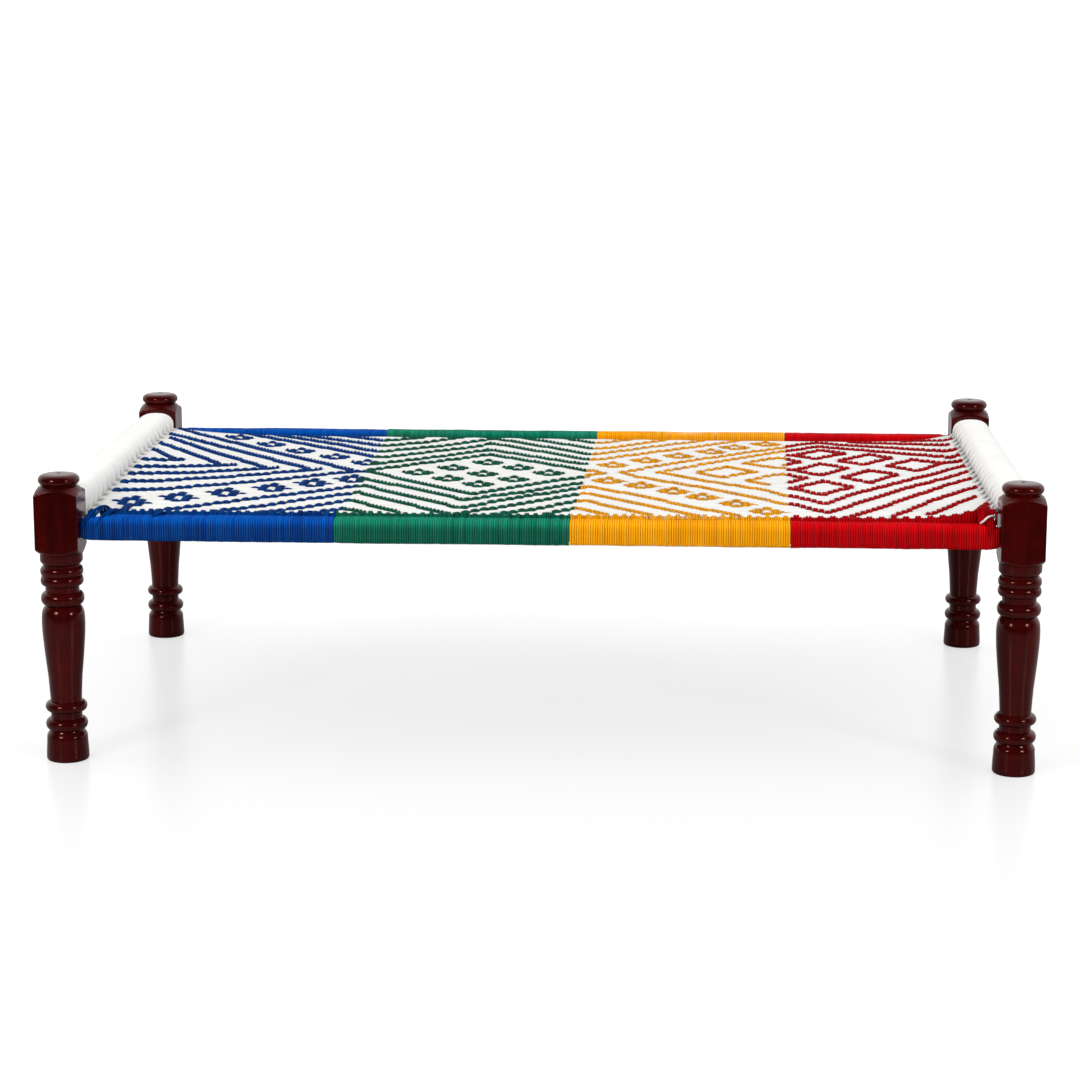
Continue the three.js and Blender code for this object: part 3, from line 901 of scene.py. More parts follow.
def end_roll_piece(end, side_x, cords, random):
    """White cord wound round an end rail. Its inner side lies in soft ribs that run on into the bed, with
    painted shade in the crease where they part.
    """
    node = f"end_wrap_{end}"
    low, high = box_of(node)
    middle = (low + high) / 2
    cord = cords.roll_cord
    half_width, half_height = (high[0] - low[0] - cord) / 2, (high[2] - low[2] - cord) / 2
    angles = np.linspace(0, 2 * np.pi, ROLL_POINTS, endpoint=False) - np.pi / 2
    power = 2 / ROLL_SQUARENESS
    section = np.column_stack([
        half_width * np.sign(np.cos(angles)) * np.abs(np.cos(angles)) ** power,
        half_height * np.sign(np.sin(angles)) * np.abs(np.sin(angles)) ** power,
    ])
    outward = unit(np.column_stack([np.cos(angles) / half_width, np.sin(angles) / half_height]))
    path, out, turn = wound_path(section, outward, low[1], high[1], cord, 4)
    proud = stray_turns(path, turn, random, cords.unevenness, ROLL_WAVES)
    around = np.arctan2(path[:, 2] / half_height, path[:, 1] / half_width)
    inner, shoulder = (bell(around - place, width) for place, width in (INNER_PRESS, SHOULDER_PRESS))
    between = at_rib_edge(path[:, 0])
    groove = bell(1 - between, RIB_GROOVE_WIDTH) + drift(random, turn[-1] + 1, *PRESS_DRIFT)[turn]
    press = shoulder * RIB_DEPTHS[end] * groove + inner * INNER_DEPTH
    from_block = np.minimum(path[:, 0] - low[1], high[1] - path[:, 0])
    press = press + ROLL_SLUMP * np.exp(-from_block / ROLL_SLUMP_RUN)
    path[:, 1:] += out[:, 1:] * (proud - press)[:, None]
    placed = np.column_stack([-side_x * path[:, 1], path[:, 0], path[:, 2]])
    placed += np.array([middle[0], 0, middle[2]])
    faced = np.column_stack([-side_x * out[:, 1], out[:, 0], out[:, 2]])
    # Painted shade in the crease beside the woven top, darkest where the bundles part
    crease = top_level() + np.interp(path[:, 0], RISE_PLACES, RISES[end]) + CREASE_HEIGHT
    in_crease = bell(path[:, 2] + middle[2] - crease, CREASE_WIDTH) * (path[:, 1] > 0)
    soil = RIB_PAINTED_SHADE[end] * bell(1 - between, RIB_SHADE_WIDTH) * in_crease
    if side_x < 0:
        placed, faced, soil = placed[::-1], faced[::-1], soil[::-1]
    rings = cord_rings(placed, faced, *(cord * share for share in ROLL_CORD), ROLL_CORD_SIDES)
    return cord_piece(f"wound_{node}", [rings], np.repeat(soil, rings.shape[1]))


class CHARPAI_OT_end_rolls(Operator):
    """Winds white cord thickly round both end rails"""
    bl_idname = "charpai.end_rolls"
    bl_label = "End rolls"

    def execute(self, context):
        scene = context.scene
        random = np.random.default_rng(SEEDS["end_rolls"])
        material = cord_material(
            "roll_white_cord", scene.charpai_colours.white,
            deep=0.95, pale=1.045, lay=scene.charpai_cords.lay, across=1, contact=0.25)
        for end, side_x in ENDS:
            piece = end_roll_piece(end, side_x, scene.charpai_cords, random)
            fit_out(piece, material, "cord_white", f"end_wrap_{end}")
        return {"FINISHED"}


# The woven top
#
# Places on it are counted in steps across from its back left corner and down towards the front.

STEP = 1.2 * MM
STEPS_LEFT = -0.95
STEPS_BACK = 0.575
LENGTHWISE_ROWS = 111
COLUMN_COUNTS = {"blue": 57, "green": 54, "yellow": 49, "red": 34}
# How thick each colour's woven cord is, as a share of the weave cord's width
THICKNESSES = {"blue": 1.0, "green": 1.0, "yellow": 1.0, "red": 1.34}
# How far the two cords of a single column close up, and how far they stand up, at the far end of a float
CLOSINGS = {"blue": 0.7, "green": 0.9, "yellow": 0.3, "red": 0.42}
CRESTS = {"blue": 1.3, "green": 0.85, "yellow": 0.35, "red": 0.8}
BUNDLES_TO_A_RIB = 5
# How many rows deep a band is where it steps one column at a time, and two
BAND_ROWS = {"blue": (3, 4), "green": (3, 4), "yellow": (3, 3), "red": (3, 3)}
# A band that ends this few columns from where the colour changes runs on to there.
CHANGE_COLUMNS = 3
# A band that comes this near to the front edge runs on to it.
EDGE_ROWS = 5
# The top climbs to the rolls: how far, at these places from front to back, and over what run
RAISED = 1.7 * MM
RISE_PLACES = np.array((-470, -390, -260, -110, 60, 340, 455)) * MM
LEFT_RISES, LEFT_RUN = np.array((3, 4, 12, 19, 25, 25, 17)) * MM, 84 * MM
RIGHT_RISES, RIGHT_RUN = np.array((30, 24, 21, 23, 24, 26, 20)) * MM, 52 * MM
RISES = {"left": LEFT_RISES, "right": RIGHT_RISES}
# How far each pair of columns stands up where it climbs on the front winding
EDGE_LIFT = 4.6 * MM
# The front edge climbs on its own winding towards the right roll.
CLIMB_PLACES = np.array((690, 730, 767, 794, 815, 836)) * MM
CLIMBS = np.array((0, 3, 9, 16, 18, 14)) * MM
# The back edge sinks between the windings towards the right: how far, and over what run
BACK_SINK, BACK_RUN = 3.5 * MM, 60 * MM
# How far the outermost columns stand off the rolls halfway along them
LEFT_DRAW = 8 * MM
RIGHT_DRAW = 9 * MM
# How much nearer they come to the right one at its ends, as a share
RIGHT_EASE = 0.8
# Columns over which they come back to even places
DRAWN_COLUMNS = 9
# The places below were read from here, as if the top lay level at this height.
READ_FROM = np.array((0.269, -5.433, 1.433))
READ_HEIGHT = 450 * MM
# How far the cords that are seen lie over the middle of the top
SEEN_OVER_MIDDLE = 4.5 * MM

# Coloured bands that step one column at a time, as runs of places (across, down)
SINGLE_BANDS = (
    ((82, 233), (136, 330), (152, 335)),
    ((83, 168), (163, 283), (227, 383), (247, 378)),
    ((88, 107), (183, 242), (265, 350), (309, 409), (327, 402)),
    ((80, 60), (383, 415), (399, 415)),
    ((81, 0), (96, 16), (130, 60), (298, 252), (456, 421), (470, 430)),
    ((227, 60), (485, 292)),
    ((277, 66), (397, 160), (479, 236)),
    ((324, 66), (471, 168)),
    ((397, 66), (479, 119)),
    ((676, 251), (783, 342), (856, 406)),
    ((671, 201), (838, 336)),
    ((671, 133), (760, 212), (856, 300)),
    ((671, 80), (753, 151), (853, 242)),
    ((718, 66), (853, 180)),
    ((791, 66), (853, 124)),
    ((485, 432), (571, 522), (654, 604), (670, 627)),
    ((489, 504), (592, 598), (666, 680)),
    ((492, 563), (592, 669), (662, 745)),
    ((489, 622), (583, 724), (648, 795)),
    ((492, 698), (574, 792)),
    ((486, 763), (519, 795)),
    ((911, 415), (937, 455), (1043, 546), (1122, 622), (1175, 689)),
    ((972, 412), (1031, 472), (1146, 566), (1178, 616)),
    ((864, 548), (972, 657), (1040, 730), (1102, 786)),
    ((864, 613), (952, 704), (1034, 789)),
    ((861, 675), (926, 751), (964, 789)),
    ((855, 742), (896, 789)),
    ((1035, 410), (1081, 453)), ((1088, 353), (1134, 397)),
    ((1119, 315), (1166, 356)), ((1119, 480), (1151, 519)),
    ((860, 400), (880, 425)),
    ((1190, 275), (1213, 300)), ((1190, 430), (1215, 455)),
    ((1405, 81), (1436, 68), (1472, 61), (1487, 55)),
    ((1307, 92), (1404, 104), (1480, 112)),
    ((1251, 98), (1298, 122), (1422, 160), (1468, 174)),
    ((1250, 139), (1313, 168), (1413, 212), (1477, 239)),
    ((1251, 177), (1295, 207)), ((1204, 233), (1240, 268)),
    ((1334, 218), (1372, 250)), ((1278, 283), (1319, 321)),
    ((1407, 265), (1455, 300)), ((1360, 330), (1407, 377)),
    ((1246, 318), (1290, 355)), ((1200, 380), (1241, 427)),
    ((1328, 377), (1372, 413)), ((1278, 444), (1319, 491)),
    ((1246, 484), (1288, 531)), ((1190, 548), (1237, 607)),
    ((1187, 619), (1240, 683)), ((1187, 689), (1237, 757)),
    ((1196, 139), (1251, 98)), ((1196, 189), (1250, 139)), ((1468, 174), (1489, 160)),
    ((1477, 239), (1489, 215)),
    ((1204, 233), (1251, 177)), ((1240, 268), (1295, 207)),
    ((1278, 283), (1334, 218)), ((1319, 321), (1372, 250)),
    ((1360, 330), (1407, 265)), ((1407, 377), (1455, 300), (1486, 277)),
    ((1200, 380), (1246, 318)), ((1241, 427), (1290, 355)),
    ((1278, 444), (1328, 377)), ((1319, 491), (1372, 413)),
    ((1190, 548), (1246, 484)), ((1237, 607), (1288, 531)),
    ((1187, 330), (1213, 300)), ((1187, 495), (1215, 455)),
    ((1240, 683), (1281, 604), (1363, 493), (1427, 409), (1483, 333)),
    ((1237, 757), (1298, 663), (1375, 540), (1445, 447), (1486, 388)),
    ((1266, 795), (1316, 722), (1375, 622), (1439, 516), (1486, 453)),
    ((1334, 790), (1383, 695), (1433, 604), (1486, 528)),
    ((1395, 763), (1436, 689), (1483, 601)),
    ((1445, 780), (1477, 719), (1488, 680)),
)

# Coloured bands that step two columns at a time, in leaf shapes
DOUBLE_BANDS = (
    ((78, 330), (152, 330)),
    ((80, 402), (148, 397), (227, 380)),
    ((83, 468), (192, 453), (265, 424), (309, 408)),
    ((83, 545), (154, 531), (265, 485), (383, 418)),
    ((83, 622), (160, 610), (248, 565), (353, 503), (441, 440), (470, 430)),
    ((190, 795), (324, 686), (488, 560)),
    ((280, 795), (353, 742), (412, 686), (485, 622)),
    ((353, 800), (418, 754), (482, 692)),
    ((424, 804), (477, 763)),
    ((485, 412), (563, 347), (676, 251)),
    ((498, 345), (598, 268), (671, 201)),
    ((498, 283), (583, 218), (648, 166), (671, 133)),
    ((483, 230), (592, 160), (671, 80)),
    ((489, 166), (560, 119), (615, 69)),
    ((489, 110), (539, 75)),
    ((670, 625), (742, 557), (806, 493), (850, 460)),
    ((664, 677), (753, 604), (838, 519)),
    ((662, 745), (736, 666), (791, 613), (850, 557)),
    ((660, 795), (753, 710), (853, 610)),
    ((718, 798), (788, 742), (850, 669)),
    ((797, 792), (844, 736)),
    ((867, 122), (911, 83)),
    ((870, 180), (975, 86)),
    ((867, 233), (952, 160), (1046, 86)),
    ((868, 292), (955, 215), (1046, 142), (1110, 86)),
    ((911, 415), (984, 333), (1078, 248), (1184, 154)),
    ((972, 412), (1043, 333), (1122, 256), (1187, 192)),
    ((1035, 410), (1088, 353)), ((1081, 453), (1134, 397)),
    ((1119, 315), (1169, 262)), ((1119, 480), (1169, 421)),
    ((860, 440), (880, 425)),
)

# A flower is petals: (first column from its middle, columns, lowest row, highest row)
WIDE_FLOWER = ((-5, 2, 0, 1), (-3, 2, -3, 4), (-1, 2, 2, 6), (-1, 2, -5, -3), (1, 2, -4, 3), (3, 2, -1, 0))
TALL_FLOWER = ((-4, 1, 0, 1), (-3, 2, -2, 3), (-1, 2, 2, 5), (-1, 2, -4, -2), (1, 2, -3, 2), (3, 1, -1, 0),
               (4, 1, -1, -1))
SMALL_FLOWER = ((-4, 1, 0, 1), (-3, 2, -2, 2), (-1, 2, 2, 4), (-1, 2, -4, -2), (1, 2, -3, 2), (3, 1, -1, 0))
# A long float that runs from the first flower to the front left corner
CORNER_STALK = ((-1, 2, -9, 8),)
FLOWERS = (
    (CORNER_STALK, ((139, 797),)),
    (WIDE_FLOWER, ((135, 722), (204, 680), (273, 636), (339, 593), (403, 546), (463, 505))),
    (SMALL_FLOWER, ((210, 92), (281, 163), (343, 233), (406, 289), (468, 347))),
    (SMALL_FLOWER, (
        (678, 330), (621, 383), (734, 380), (566, 432), (677, 438), (790, 427), (620, 488), (730, 488),
        (676, 540))),
    (SMALL_FLOWER, ((890, 347), (949, 295), (1002, 248), (1058, 201), (1103, 157), (1157, 113))),
    (TALL_FLOWER, ((892, 496), (945, 537), (994, 584), (1046, 634), (1097, 686), (1146, 748))),
)


class WovenTop:
    """Where the cords of the top lie, and which of them is uppermost at each crossing."""

    def __init__(self, cords):
        self.cord = cords.weave_cord
        self.swing = cords.swing
        warp_low, warp_high = box_of("warp_white")
        weft_low, weft_high = box_of("weft_blue")
        self.level = top_level()
        self.reach = -weft_low[0]
        self.edge_y = weft_high[1]
        self.rows_y = self.row_places(warp_low[1], warp_high[1])
        self.row_pitch = self.rows_y[1] - self.rows_y[0]
        self.column_colours = [colour for colour in COLOURS for _ in range(COLUMN_COUNTS[colour])]
        self.front_x, self.back_x = self.column_ends()
        self.columns = len(self.column_colours)
        crossings = (self.columns, LENGTHWISE_ROWS)
        self.on_top = np.zeros(crossings, bool)
        self.to_group = np.zeros(crossings)
        self.group_width = np.ones(crossings)
        random = np.random.default_rng(SEEDS["front_edge"])
        pairs = self.columns // 2 + 1
        self.edge_rows = random.integers(0, 3, pairs)
        self.edge_lift = random.uniform(0.5, 1.2, pairs)
        self.draw_pattern()

    def row_places(self, low, high):
        """Places of the lengthwise rows, spread evenly from front to back."""
        share = (np.arange(LENGTHWISE_ROWS) + 0.5) / LENGTHWISE_ROWS
        return low + (high - low) * share

    def column_ends(self):
        """Places of the columns along the front and the back, spread over each colour's own zone."""
        front, back = [], []
        for colour in COLOURS:
            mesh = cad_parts[f"weft_{colour}"].data
            corners = np.array([vertex.co for vertex in mesh.vertices])
            count = COLUMN_COUNTS[colour]
            share = (np.arange(count) + 0.5) / count
            for ends, near in ((front, corners[:, 1] < 0), (back, corners[:, 1] > 0)):
                low, high = corners[near, 0].min(), corners[near, 0].max()
                ends.extend(low + (high - low) * share)
        return np.array(front), np.array(back)

    def column_x(self, column, y):
        """Place of a column at y. The outermost ones stand off the rolls."""
        share = (y + self.edge_y) / (2 * self.edge_y)
        straight = self.front_x[column] * (1 - share) + self.back_x[column] * share
        left = LEFT_DRAW * np.exp(-column / DRAWN_COLUMNS)
        right = RIGHT_DRAW * np.exp(-(self.columns - 1 - column) / DRAWN_COLUMNS)
        right = right * (1 - RIGHT_EASE * (y / self.edge_y) ** 2)
        return straight + left - right

    def height(self, x, y):
        """Height of the middle of the top, which climbs to the rolls at both ends."""
        left = np.interp(y, RISE_PLACES, LEFT_RISES) * np.exp(-(x + self.reach) / LEFT_RUN)
        right = np.interp(y, RISE_PLACES, RIGHT_RISES) * np.exp(-(self.reach - x) / RIGHT_RUN)
        sink = BACK_SINK * np.exp((y - self.edge_y) / BACK_RUN) * np.clip(0.3 + x / self.reach, 0, 1)
        return self.level + left + right - sink

    def crossing_at(self, across, down):
        """The column and the row, as fractions, at a place given in steps."""
        read = np.array((STEPS_LEFT + across * STEP, STEPS_BACK - down * STEP))
        place = read
        for _ in range(4):
            above = self.height(*place) + SEEN_OVER_MIDDLE - READ_HEIGHT
            nearer = above / (READ_FROM[2] - READ_HEIGHT)
            place = read + (READ_FROM[:2] - read) * nearer
        x, y = place
        column = np.interp(x, self.column_x(np.arange(self.columns), y), np.arange(self.columns))
        return column, (y - self.rows_y[0]) / self.row_pitch

    def lay_on_top(self, column, first_row, last_row, group, width):
        """Brings a column's cords to the top over some rows, gathered about the middle of a group."""
        if not 0 <= column < self.columns:
            return
        first, last = max(0, first_row), min(LENGTHWISE_ROWS - 1, last_row)
        self.on_top[column, first:last + 1] = True
        self.to_group[column, first:last + 1] = group - column
        self.group_width[column, first:last + 1] = width

    def draw_band(self, places, width):
        """A band of columns, width columns to a step, through places given in steps."""
        across, down = np.array(places).T
        steps = np.linspace(0, len(places) - 1, 8 * len(places))
        number = np.arange(len(places))
        read = zip(np.interp(steps, number, across), np.interp(steps, number, down))
        columns, rows = np.array([self.crossing_at(*place) for place in read]).T
        first, last = sorted((round(columns[0]), round(columns[-1])))
        for change in np.cumsum([COLUMN_COUNTS[colour] for colour in COLOURS[:-1]]):
            if 0 < first - change <= CHANGE_COLUMNS:
                first = int(change)
            if 0 < change - 1 - last <= CHANGE_COLUMNS:
                last = int(change) - 1
        for column in range(first, last + 1, width):
            group = column + (width - 1) / 2
            middle = np.interp(group, columns, rows)
            colour = self.column_colours[min(max(column, 0), self.columns - 1)]
            deep = BAND_ROWS[colour][width - 1]
            bottom = round(middle - deep / 2 + 0.5)
            lowest = 0 if bottom <= EDGE_ROWS else bottom
            for own in range(column, min(column + width, last + 1)):
                self.lay_on_top(own, lowest, bottom + deep - 1, group, width)

    def draw_flower(self, petals, across, down):
        """A flower about a place given in steps."""
        middle_column, middle_row = self.crossing_at(across, down)
        for offset, width, low, high in petals:
            first = round(middle_column + 0.5) + offset
            for step in range(width):
                self.lay_on_top(
                    first + step, round(middle_row) + low, round(middle_row) + high,
                    first + (width - 1) / 2, width)

    def draw_pattern(self):
        """The bands, the flowers, and the pairs of columns along the front edge."""
        for places in SINGLE_BANDS:
            self.draw_band(places, 1)
        for places in DOUBLE_BANDS:
            self.draw_band(places, 2)
        for petals, places in FLOWERS:
            for across, down in places:
                self.draw_flower(petals, across, down)
        for column in range(self.columns):
            pair = column // 2
            self.lay_on_top(column, 0, int(self.edge_rows[pair]), 2 * pair + 0.5, 2)


def floats(states):
    """Runs of equal states along a cord, as (first, last, state)."""
    changes = np.flatnonzero(np.diff(states.astype(int))) + 1
    firsts = np.concatenate([[0], changes])
    lasts = np.concatenate([changes - 1, [len(states) - 1]])
    return [(first, last, bool(states[first])) for first, last in zip(firsts, lasts)]


# Crossings between the knots of a long float
KNOT_EVERY = 5
# Height of a float's first, inner and last knots, as shares of the swing
FIRST_HEIGHT, INNER_HEIGHT, LAST_HEIGHT = 0.85, 1.12, 0.8
# How far cords close up at a float's first and inner knots, and where they come up between others
FIRST_CLOSING, INNER_CLOSING, RISING_CLOSING = 0.1, 0.15, 0.2


def float_knots(states, places, pitch):
    """Knots of a cord that passes over and under: their places, height shares, closings and rows.

    It closes up most where it dives and at the far end of a float."""
    knots = []
    runs = floats(states)
    for number, (first, last, over) in enumerate(runs):
        side = 1 if over else -1
        if number:
            closing, row = (RISING_CLOSING, first) if over else (1.0, first - 1)
            knots.append((places[first] - pitch / 2, 0.0, closing, row))
        length = last - first
        knots.append((places[first], side * FIRST_HEIGHT, FIRST_CLOSING, first))
        inner = max(1, round(length / KNOT_EVERY)) if length >= 2 else 0
        for row in first + length * (np.arange(inner) + 1) / (inner + 1):
            place = np.interp(row, (first, last), (places[first], places[last]))
            knots.append((place, side * INNER_HEIGHT, INNER_CLOSING, int(row)))
        if length >= 1:
            knots.append((places[last], side * LAST_HEIGHT, 1.0, last))
    place, height, closing, row = np.array(knots).T
    return place, height, closing, row.astype(int)


# A cord's way over the front winding: places inward from the edge, heights over the winding, shares of lift
FRONT_PLACES = np.array((13, 5, -2, -8, -13, -16)) * MM
FRONT_HEIGHTS = np.array((-9, -1, 1.8, 2, -0.5, -5)) * MM
FRONT_LIFTS = np.array((0, 0.6, 1, 1, 0.4, 0))
# Its way into the side of the back winding, or over it: places outward from the edge, heights over it
BACK_INTO = np.array((-7, 3)) * MM
BACK_OVER = np.array((-7, 1, 8, 14)) * MM
BACK_HEIGHTS = np.array((4, 2.5, 0.5, -5)) * MM
# Cords that arrive lower than this below the winding's top go into its side.
BACK_LOW = 5 * MM
# How wide a pair of columns arches, in cords from its middle
PAIR_ARCH = 1.6


def front_tuck(top, column, strand, x):
    """The end of a crosswise cord, which climbs on the front winding with its pair and dives into it."""
    pair = column // 2
    aside = (column % 2 - 0.5) * 2 + strand
    lift = top.edge_lift[pair] * (1 - (aside / PAIR_ARCH) ** 2) * EDGE_LIFT
    climb = np.interp(x, CLIMB_PLACES, CLIMBS)
    y = -top.edge_y + FRONT_PLACES
    on_wrap = WRAP_TOP + climb + FRONT_HEIGHTS
    on_wrap[-1] -= climb
    z = on_wrap + lift * FRONT_LIFTS
    z[0] = max(z[0] - lift, top.height(x, y[0]))
    return np.column_stack([np.full(len(y), x), y, z])[::-1]


def back_tuck(top, x):
    """The end of a crosswise cord at the back: into the winding, or over it where the top stands high."""
    level = top.height(x, top.edge_y)
    if level < WRAP_TOP - BACK_LOW:
        y, z = top.edge_y + BACK_INTO, np.full(2, level)
    else:
        y, z = top.edge_y + BACK_OVER, np.minimum(level, WRAP_TOP + BACK_HEIGHTS)
    return np.column_stack([np.full(len(y), x), y, z])


# Loops that tie the front corners: (colour, cords side by side, drop of the outer ones, places on its way)
CORNER_LOOPS = (
    ("blue", 4, 4, (
        (-790, -450, 462), (-796, -474, 478), (-806, -498, 477), (-819, -515, 465),
        (-829, -522, 448), (-829, -512, 432))),
    ("blue", 3, 2, (
        (-768, -446, 460), (-777, -472, 471), (-786, -496, 470), (-797, -517, 461),
        (-806, -522, 446), (-806, -512, 434))),
    ("blue", 2, 1, (
        (-680, -474, 460), (-687, -487, 468), (-697, -502, 467), (-706, -512, 459))),
    ("white", 2, 1, (
        (-822, -462, 466), (-813, -482, 472), (-806, -498, 469), (-800, -512, 459))),
    ("red", 7, 6, (
        (813, -398, 468), (813, -428, 485), (812, -456, 490.5), (810, -484, 486),
        (807, -505, 470), (806, -512, 452))),
    ("red", 5, 8, (
        (822, -462, 462), (820, -488, 476), (818, -506, 477), (817, -519, 466),
        (816, -523, 450), (816, -512, 434))),
    ("white", 1, 0, (
        (801, -505, 466), (806, -510, 471), (811, -511, 477), (817, -509, 480),
        (824, -504, 480), (829, -494, 474))),
)


# How far below the top of the winding the loops' middle lies, and how close their cords lie
LOOP_MIDDLE, LOOP_SPACING = 22 * MM, 0.95


def eased(places):
    """A path with its corners cut, its ends kept."""
    for _ in range(2):
        cut = np.empty((2 * len(places) - 2, 3))
        cut[0::2] = places[:-1] * 0.75 + places[1:] * 0.25
        cut[1::2] = places[:-1] * 0.25 + places[1:] * 0.75
        places = np.concatenate([places[:1], cut, places[-1:]])
    return places


def corner_loops(colour, cord):
    """The loops of one colour, as rings."""
    made = []
    middle = (LEG_LOW + LEG_HIGH) / 2
    for own, count, drop, places in CORNER_LOOPS:
        if own != colour:
            continue
        path = eased(np.array(places) * MM)
        outward = path - np.array([0, middle[1], WRAP_TOP - LOOP_MIDDLE])
        outward[:, 0] = 0
        outward = unit(outward)
        side = np.cross(unit(np.gradient(path, axis=0)), outward)
        for aside in np.arange(count) - (count - 1) / 2:
            share = aside / max((count - 1) / 2, 1)
            strand = path + side * aside * cord * LOOP_SPACING - outward * drop * MM * share ** 2
            made.append(cord_rings(strand, outward, cord / 2, cord / 2, CORD_SIDES))
    return made


# How far the cords of a double column close up at the ends of a float
PAIR_CLOSING = 0.2
# How far a float's cords stand up, as shares of the crown: singles nowhere closed, doubles, and the loss
SINGLE_CREST, PAIR_CREST, PAIR_LOSS = 0.6, 1.1, 0.4
# Widths of a crosswise cord as shares: in its tucks, along it, and the loss where it closes up
TUCK_WIDTH, FLOAT_WIDTH, CLOSED_LOSS = 1.04, 1.05, 0.12
# Woven cords are a little flat, and have this many sides.
FLATNESS, CORD_SIDES = 0.96, 6
# Knots between the bends of a woven cord's drift aside, and of its drift up and down
ASIDE_REACH, UP_REACH = 6, 5


def crosswise_cords(top, cords, random):
    """Every coloured cord of the top, as rings, by colour."""
    made = {colour: [] for colour in COLOURS}
    for column, colour in enumerate(top.column_colours):
        cord = top.cord * THICKNESSES[colour]
        half = cord / 2
        y, height, closing, rows = float_knots(top.on_top[column], top.rows_y, top.row_pitch)
        count = len(y)
        for strand in (-0.5, 0.5):
            own = strand * cord
            from_middle = own - top.to_group[column, rows] * 2 * cord
            over = np.maximum(height, 0) * top.on_top[column, rows]
            aside = from_middle / (top.group_width[column, rows] * cord)
            single = top.group_width[column, rows] < 2
            gather = cords.gather * np.where(single, CLOSINGS[colour], PAIR_CLOSING)
            gather = gather * closing * (height >= 0)
            x = top.column_x(column, y) + own - gather * from_middle
            x += drift(random, count, cords.unevenness, ASIDE_REACH)
            crest = np.where(
                single, SINGLE_CREST + CRESTS[colour] * closing, PAIR_CREST - PAIR_LOSS * closing)
            crown = cords.crown * crest * (1 - aside ** 2) * over
            z = top.height(x, y) + top.swing * height + crown
            z = z + drift(random, count, cords.unevenness, UP_REACH)
            width = FLOAT_WIDTH - CLOSED_LOSS * closing * (height >= 0) * single
            front = front_tuck(top, column, strand, x[0])
            back = back_tuck(top, x[-1])
            path = np.concatenate([front, np.column_stack([x, y, z]), back])
            widths = np.concatenate([np.full(len(front), TUCK_WIDTH), width, np.ones(len(back))])
            outward = np.tile([0.0, 0.0, 1.0], (len(path), 1))
            made[colour].append(cord_rings(path, outward, half * widths, half * FLATNESS, CORD_SIDES))
    for colour in COLOURS:
        made[colour] += corner_loops(colour, top.cord)
    return made


# The woven cords are darker copies of the wound cords' dyes, painted shade for the poorer light on the top:
# the share of each dye
WOVEN_SHADE_DEPTHS = {"blue": 0.48, "green": 0.42, "yellow": 0.9, "red": 0.62}


class CHARPAI_OT_crosswise_cords(Operator):
    """Weaves the coloured cords that run from side rail to side rail"""
    bl_idname = "charpai.crosswise_cords"
    bl_label = "Crosswise cords"

    def execute(self, context):
        scene = context.scene
        random = np.random.default_rng(SEEDS["crosswise"])
        made = crosswise_cords(WovenTop(scene.charpai_cords), scene.charpai_cords, random)
        for colour in COLOURS:
            # Painted shade: a darker copy of the dye
            dye = [part * WOVEN_SHADE_DEPTHS[colour] for part in getattr(scene.charpai_colours, colour)]
            material = cord_material(
                f"woven_{colour}_cord", dye,
                deep=0.45, pale=1.1, lay=scene.charpai_cords.lay, across=0, contact=0.8)
            piece = cord_piece(f"woven_weft_{colour}", made[colour])
            fit_out(piece, material, f"cord_{colour}", f"weft_{colour}")
        return {"FINISHED"}


WARP_PIECES = ("front", "middle", "back")
# How far the two cords of a row close up where they dive, as a share
ROW_CLOSING = 0.35
# At each roll: its side, how far a bundle's cords close up, and how far the bundle arches
ROLL_ENDS = ((-1, 0.16, 2.5 * MM), (1, 0.38, 15 * MM))
# A lengthwise cord's way into a roll: places, closing and arching shares, and heights over the top
END_PLACES = np.array((-5, 0, 5, 11)) * MM
END_CLOSINGS = np.array((0.4, 0.9, 1.0, 1.0))
END_ARCHES = np.array((0.3, 0.9, 1.0, 1.0))
END_HEIGHTS = np.array((0.5, 0.5, -0.5, -2.5)) * MM
# An arch stands this share of its height above the middle, and falls below it at the bundle's edges.
ARCH_CROWN = 0.35


def lengthwise_cords(top, cords, random):
    """Every white cord of the top, as rings, from the front row to the back."""
    made = []
    half = top.cord / 2
    column_numbers = np.arange(top.columns)
    for row in range(LENGTHWISE_ROWS):
        columns_x = top.column_x(column_numbers, top.rows_y[row])
        pitch = np.mean(np.diff(columns_x))
        x, height, closing, _ = float_knots(~top.on_top[:, row], columns_x, pitch)
        count = len(x)
        rib = row // BUNDLES_TO_A_RIB
        rib_y = top.rows_y[0] + (BUNDLES_TO_A_RIB * rib + (BUNDLES_TO_A_RIB - 1) / 2) * top.row_pitch
        half_rib = BUNDLES_TO_A_RIB * top.row_pitch / 2
        for strand in (-0.5, 0.5):
            own = strand * top.cord * (1 - ROW_CLOSING * closing)
            y = top.rows_y[row] + own + drift(random, count, cords.unevenness, ASIDE_REACH)
            z = top.height(x, y) + top.swing * height
            z = z + drift(random, count, cords.unevenness, UP_REACH)
            ends = []
            for (side_x, closed, bend), last_y in zip(ROLL_ENDS, (y[0], y[-1])):
                end_x = side_x * (top.reach + END_PLACES)
                aside = (last_y - rib_y) / half_rib
                arch = bend * (ARCH_CROWN - aside ** 2) * END_ARCHES
                near_y = last_y + (rib_y - last_y) * (closed * END_CLOSINGS)
                end_z = top.height(end_x, near_y) + arch + END_HEIGHTS
                ends.append(np.column_stack([end_x, near_y, end_z]))
            path = np.concatenate([ends[0][::-1], np.column_stack([x, y, z]), ends[1]])
            outward = np.tile([0.0, 0.0, 1.0], (len(path), 1))
            made.append(cord_rings(path, outward, half * TUCK_WIDTH, half * FLATNESS, CORD_SIDES))
    return corner_loops("white", top.cord) + made


# How much painted shade lies all along the left and the right roll, and how much more where the bundles
# part
CREASE_PAINTED_SHADE = ((0.08, 0.5), (0.2, 0.8))
CREASE_SHADE_WIDTH = 0.6


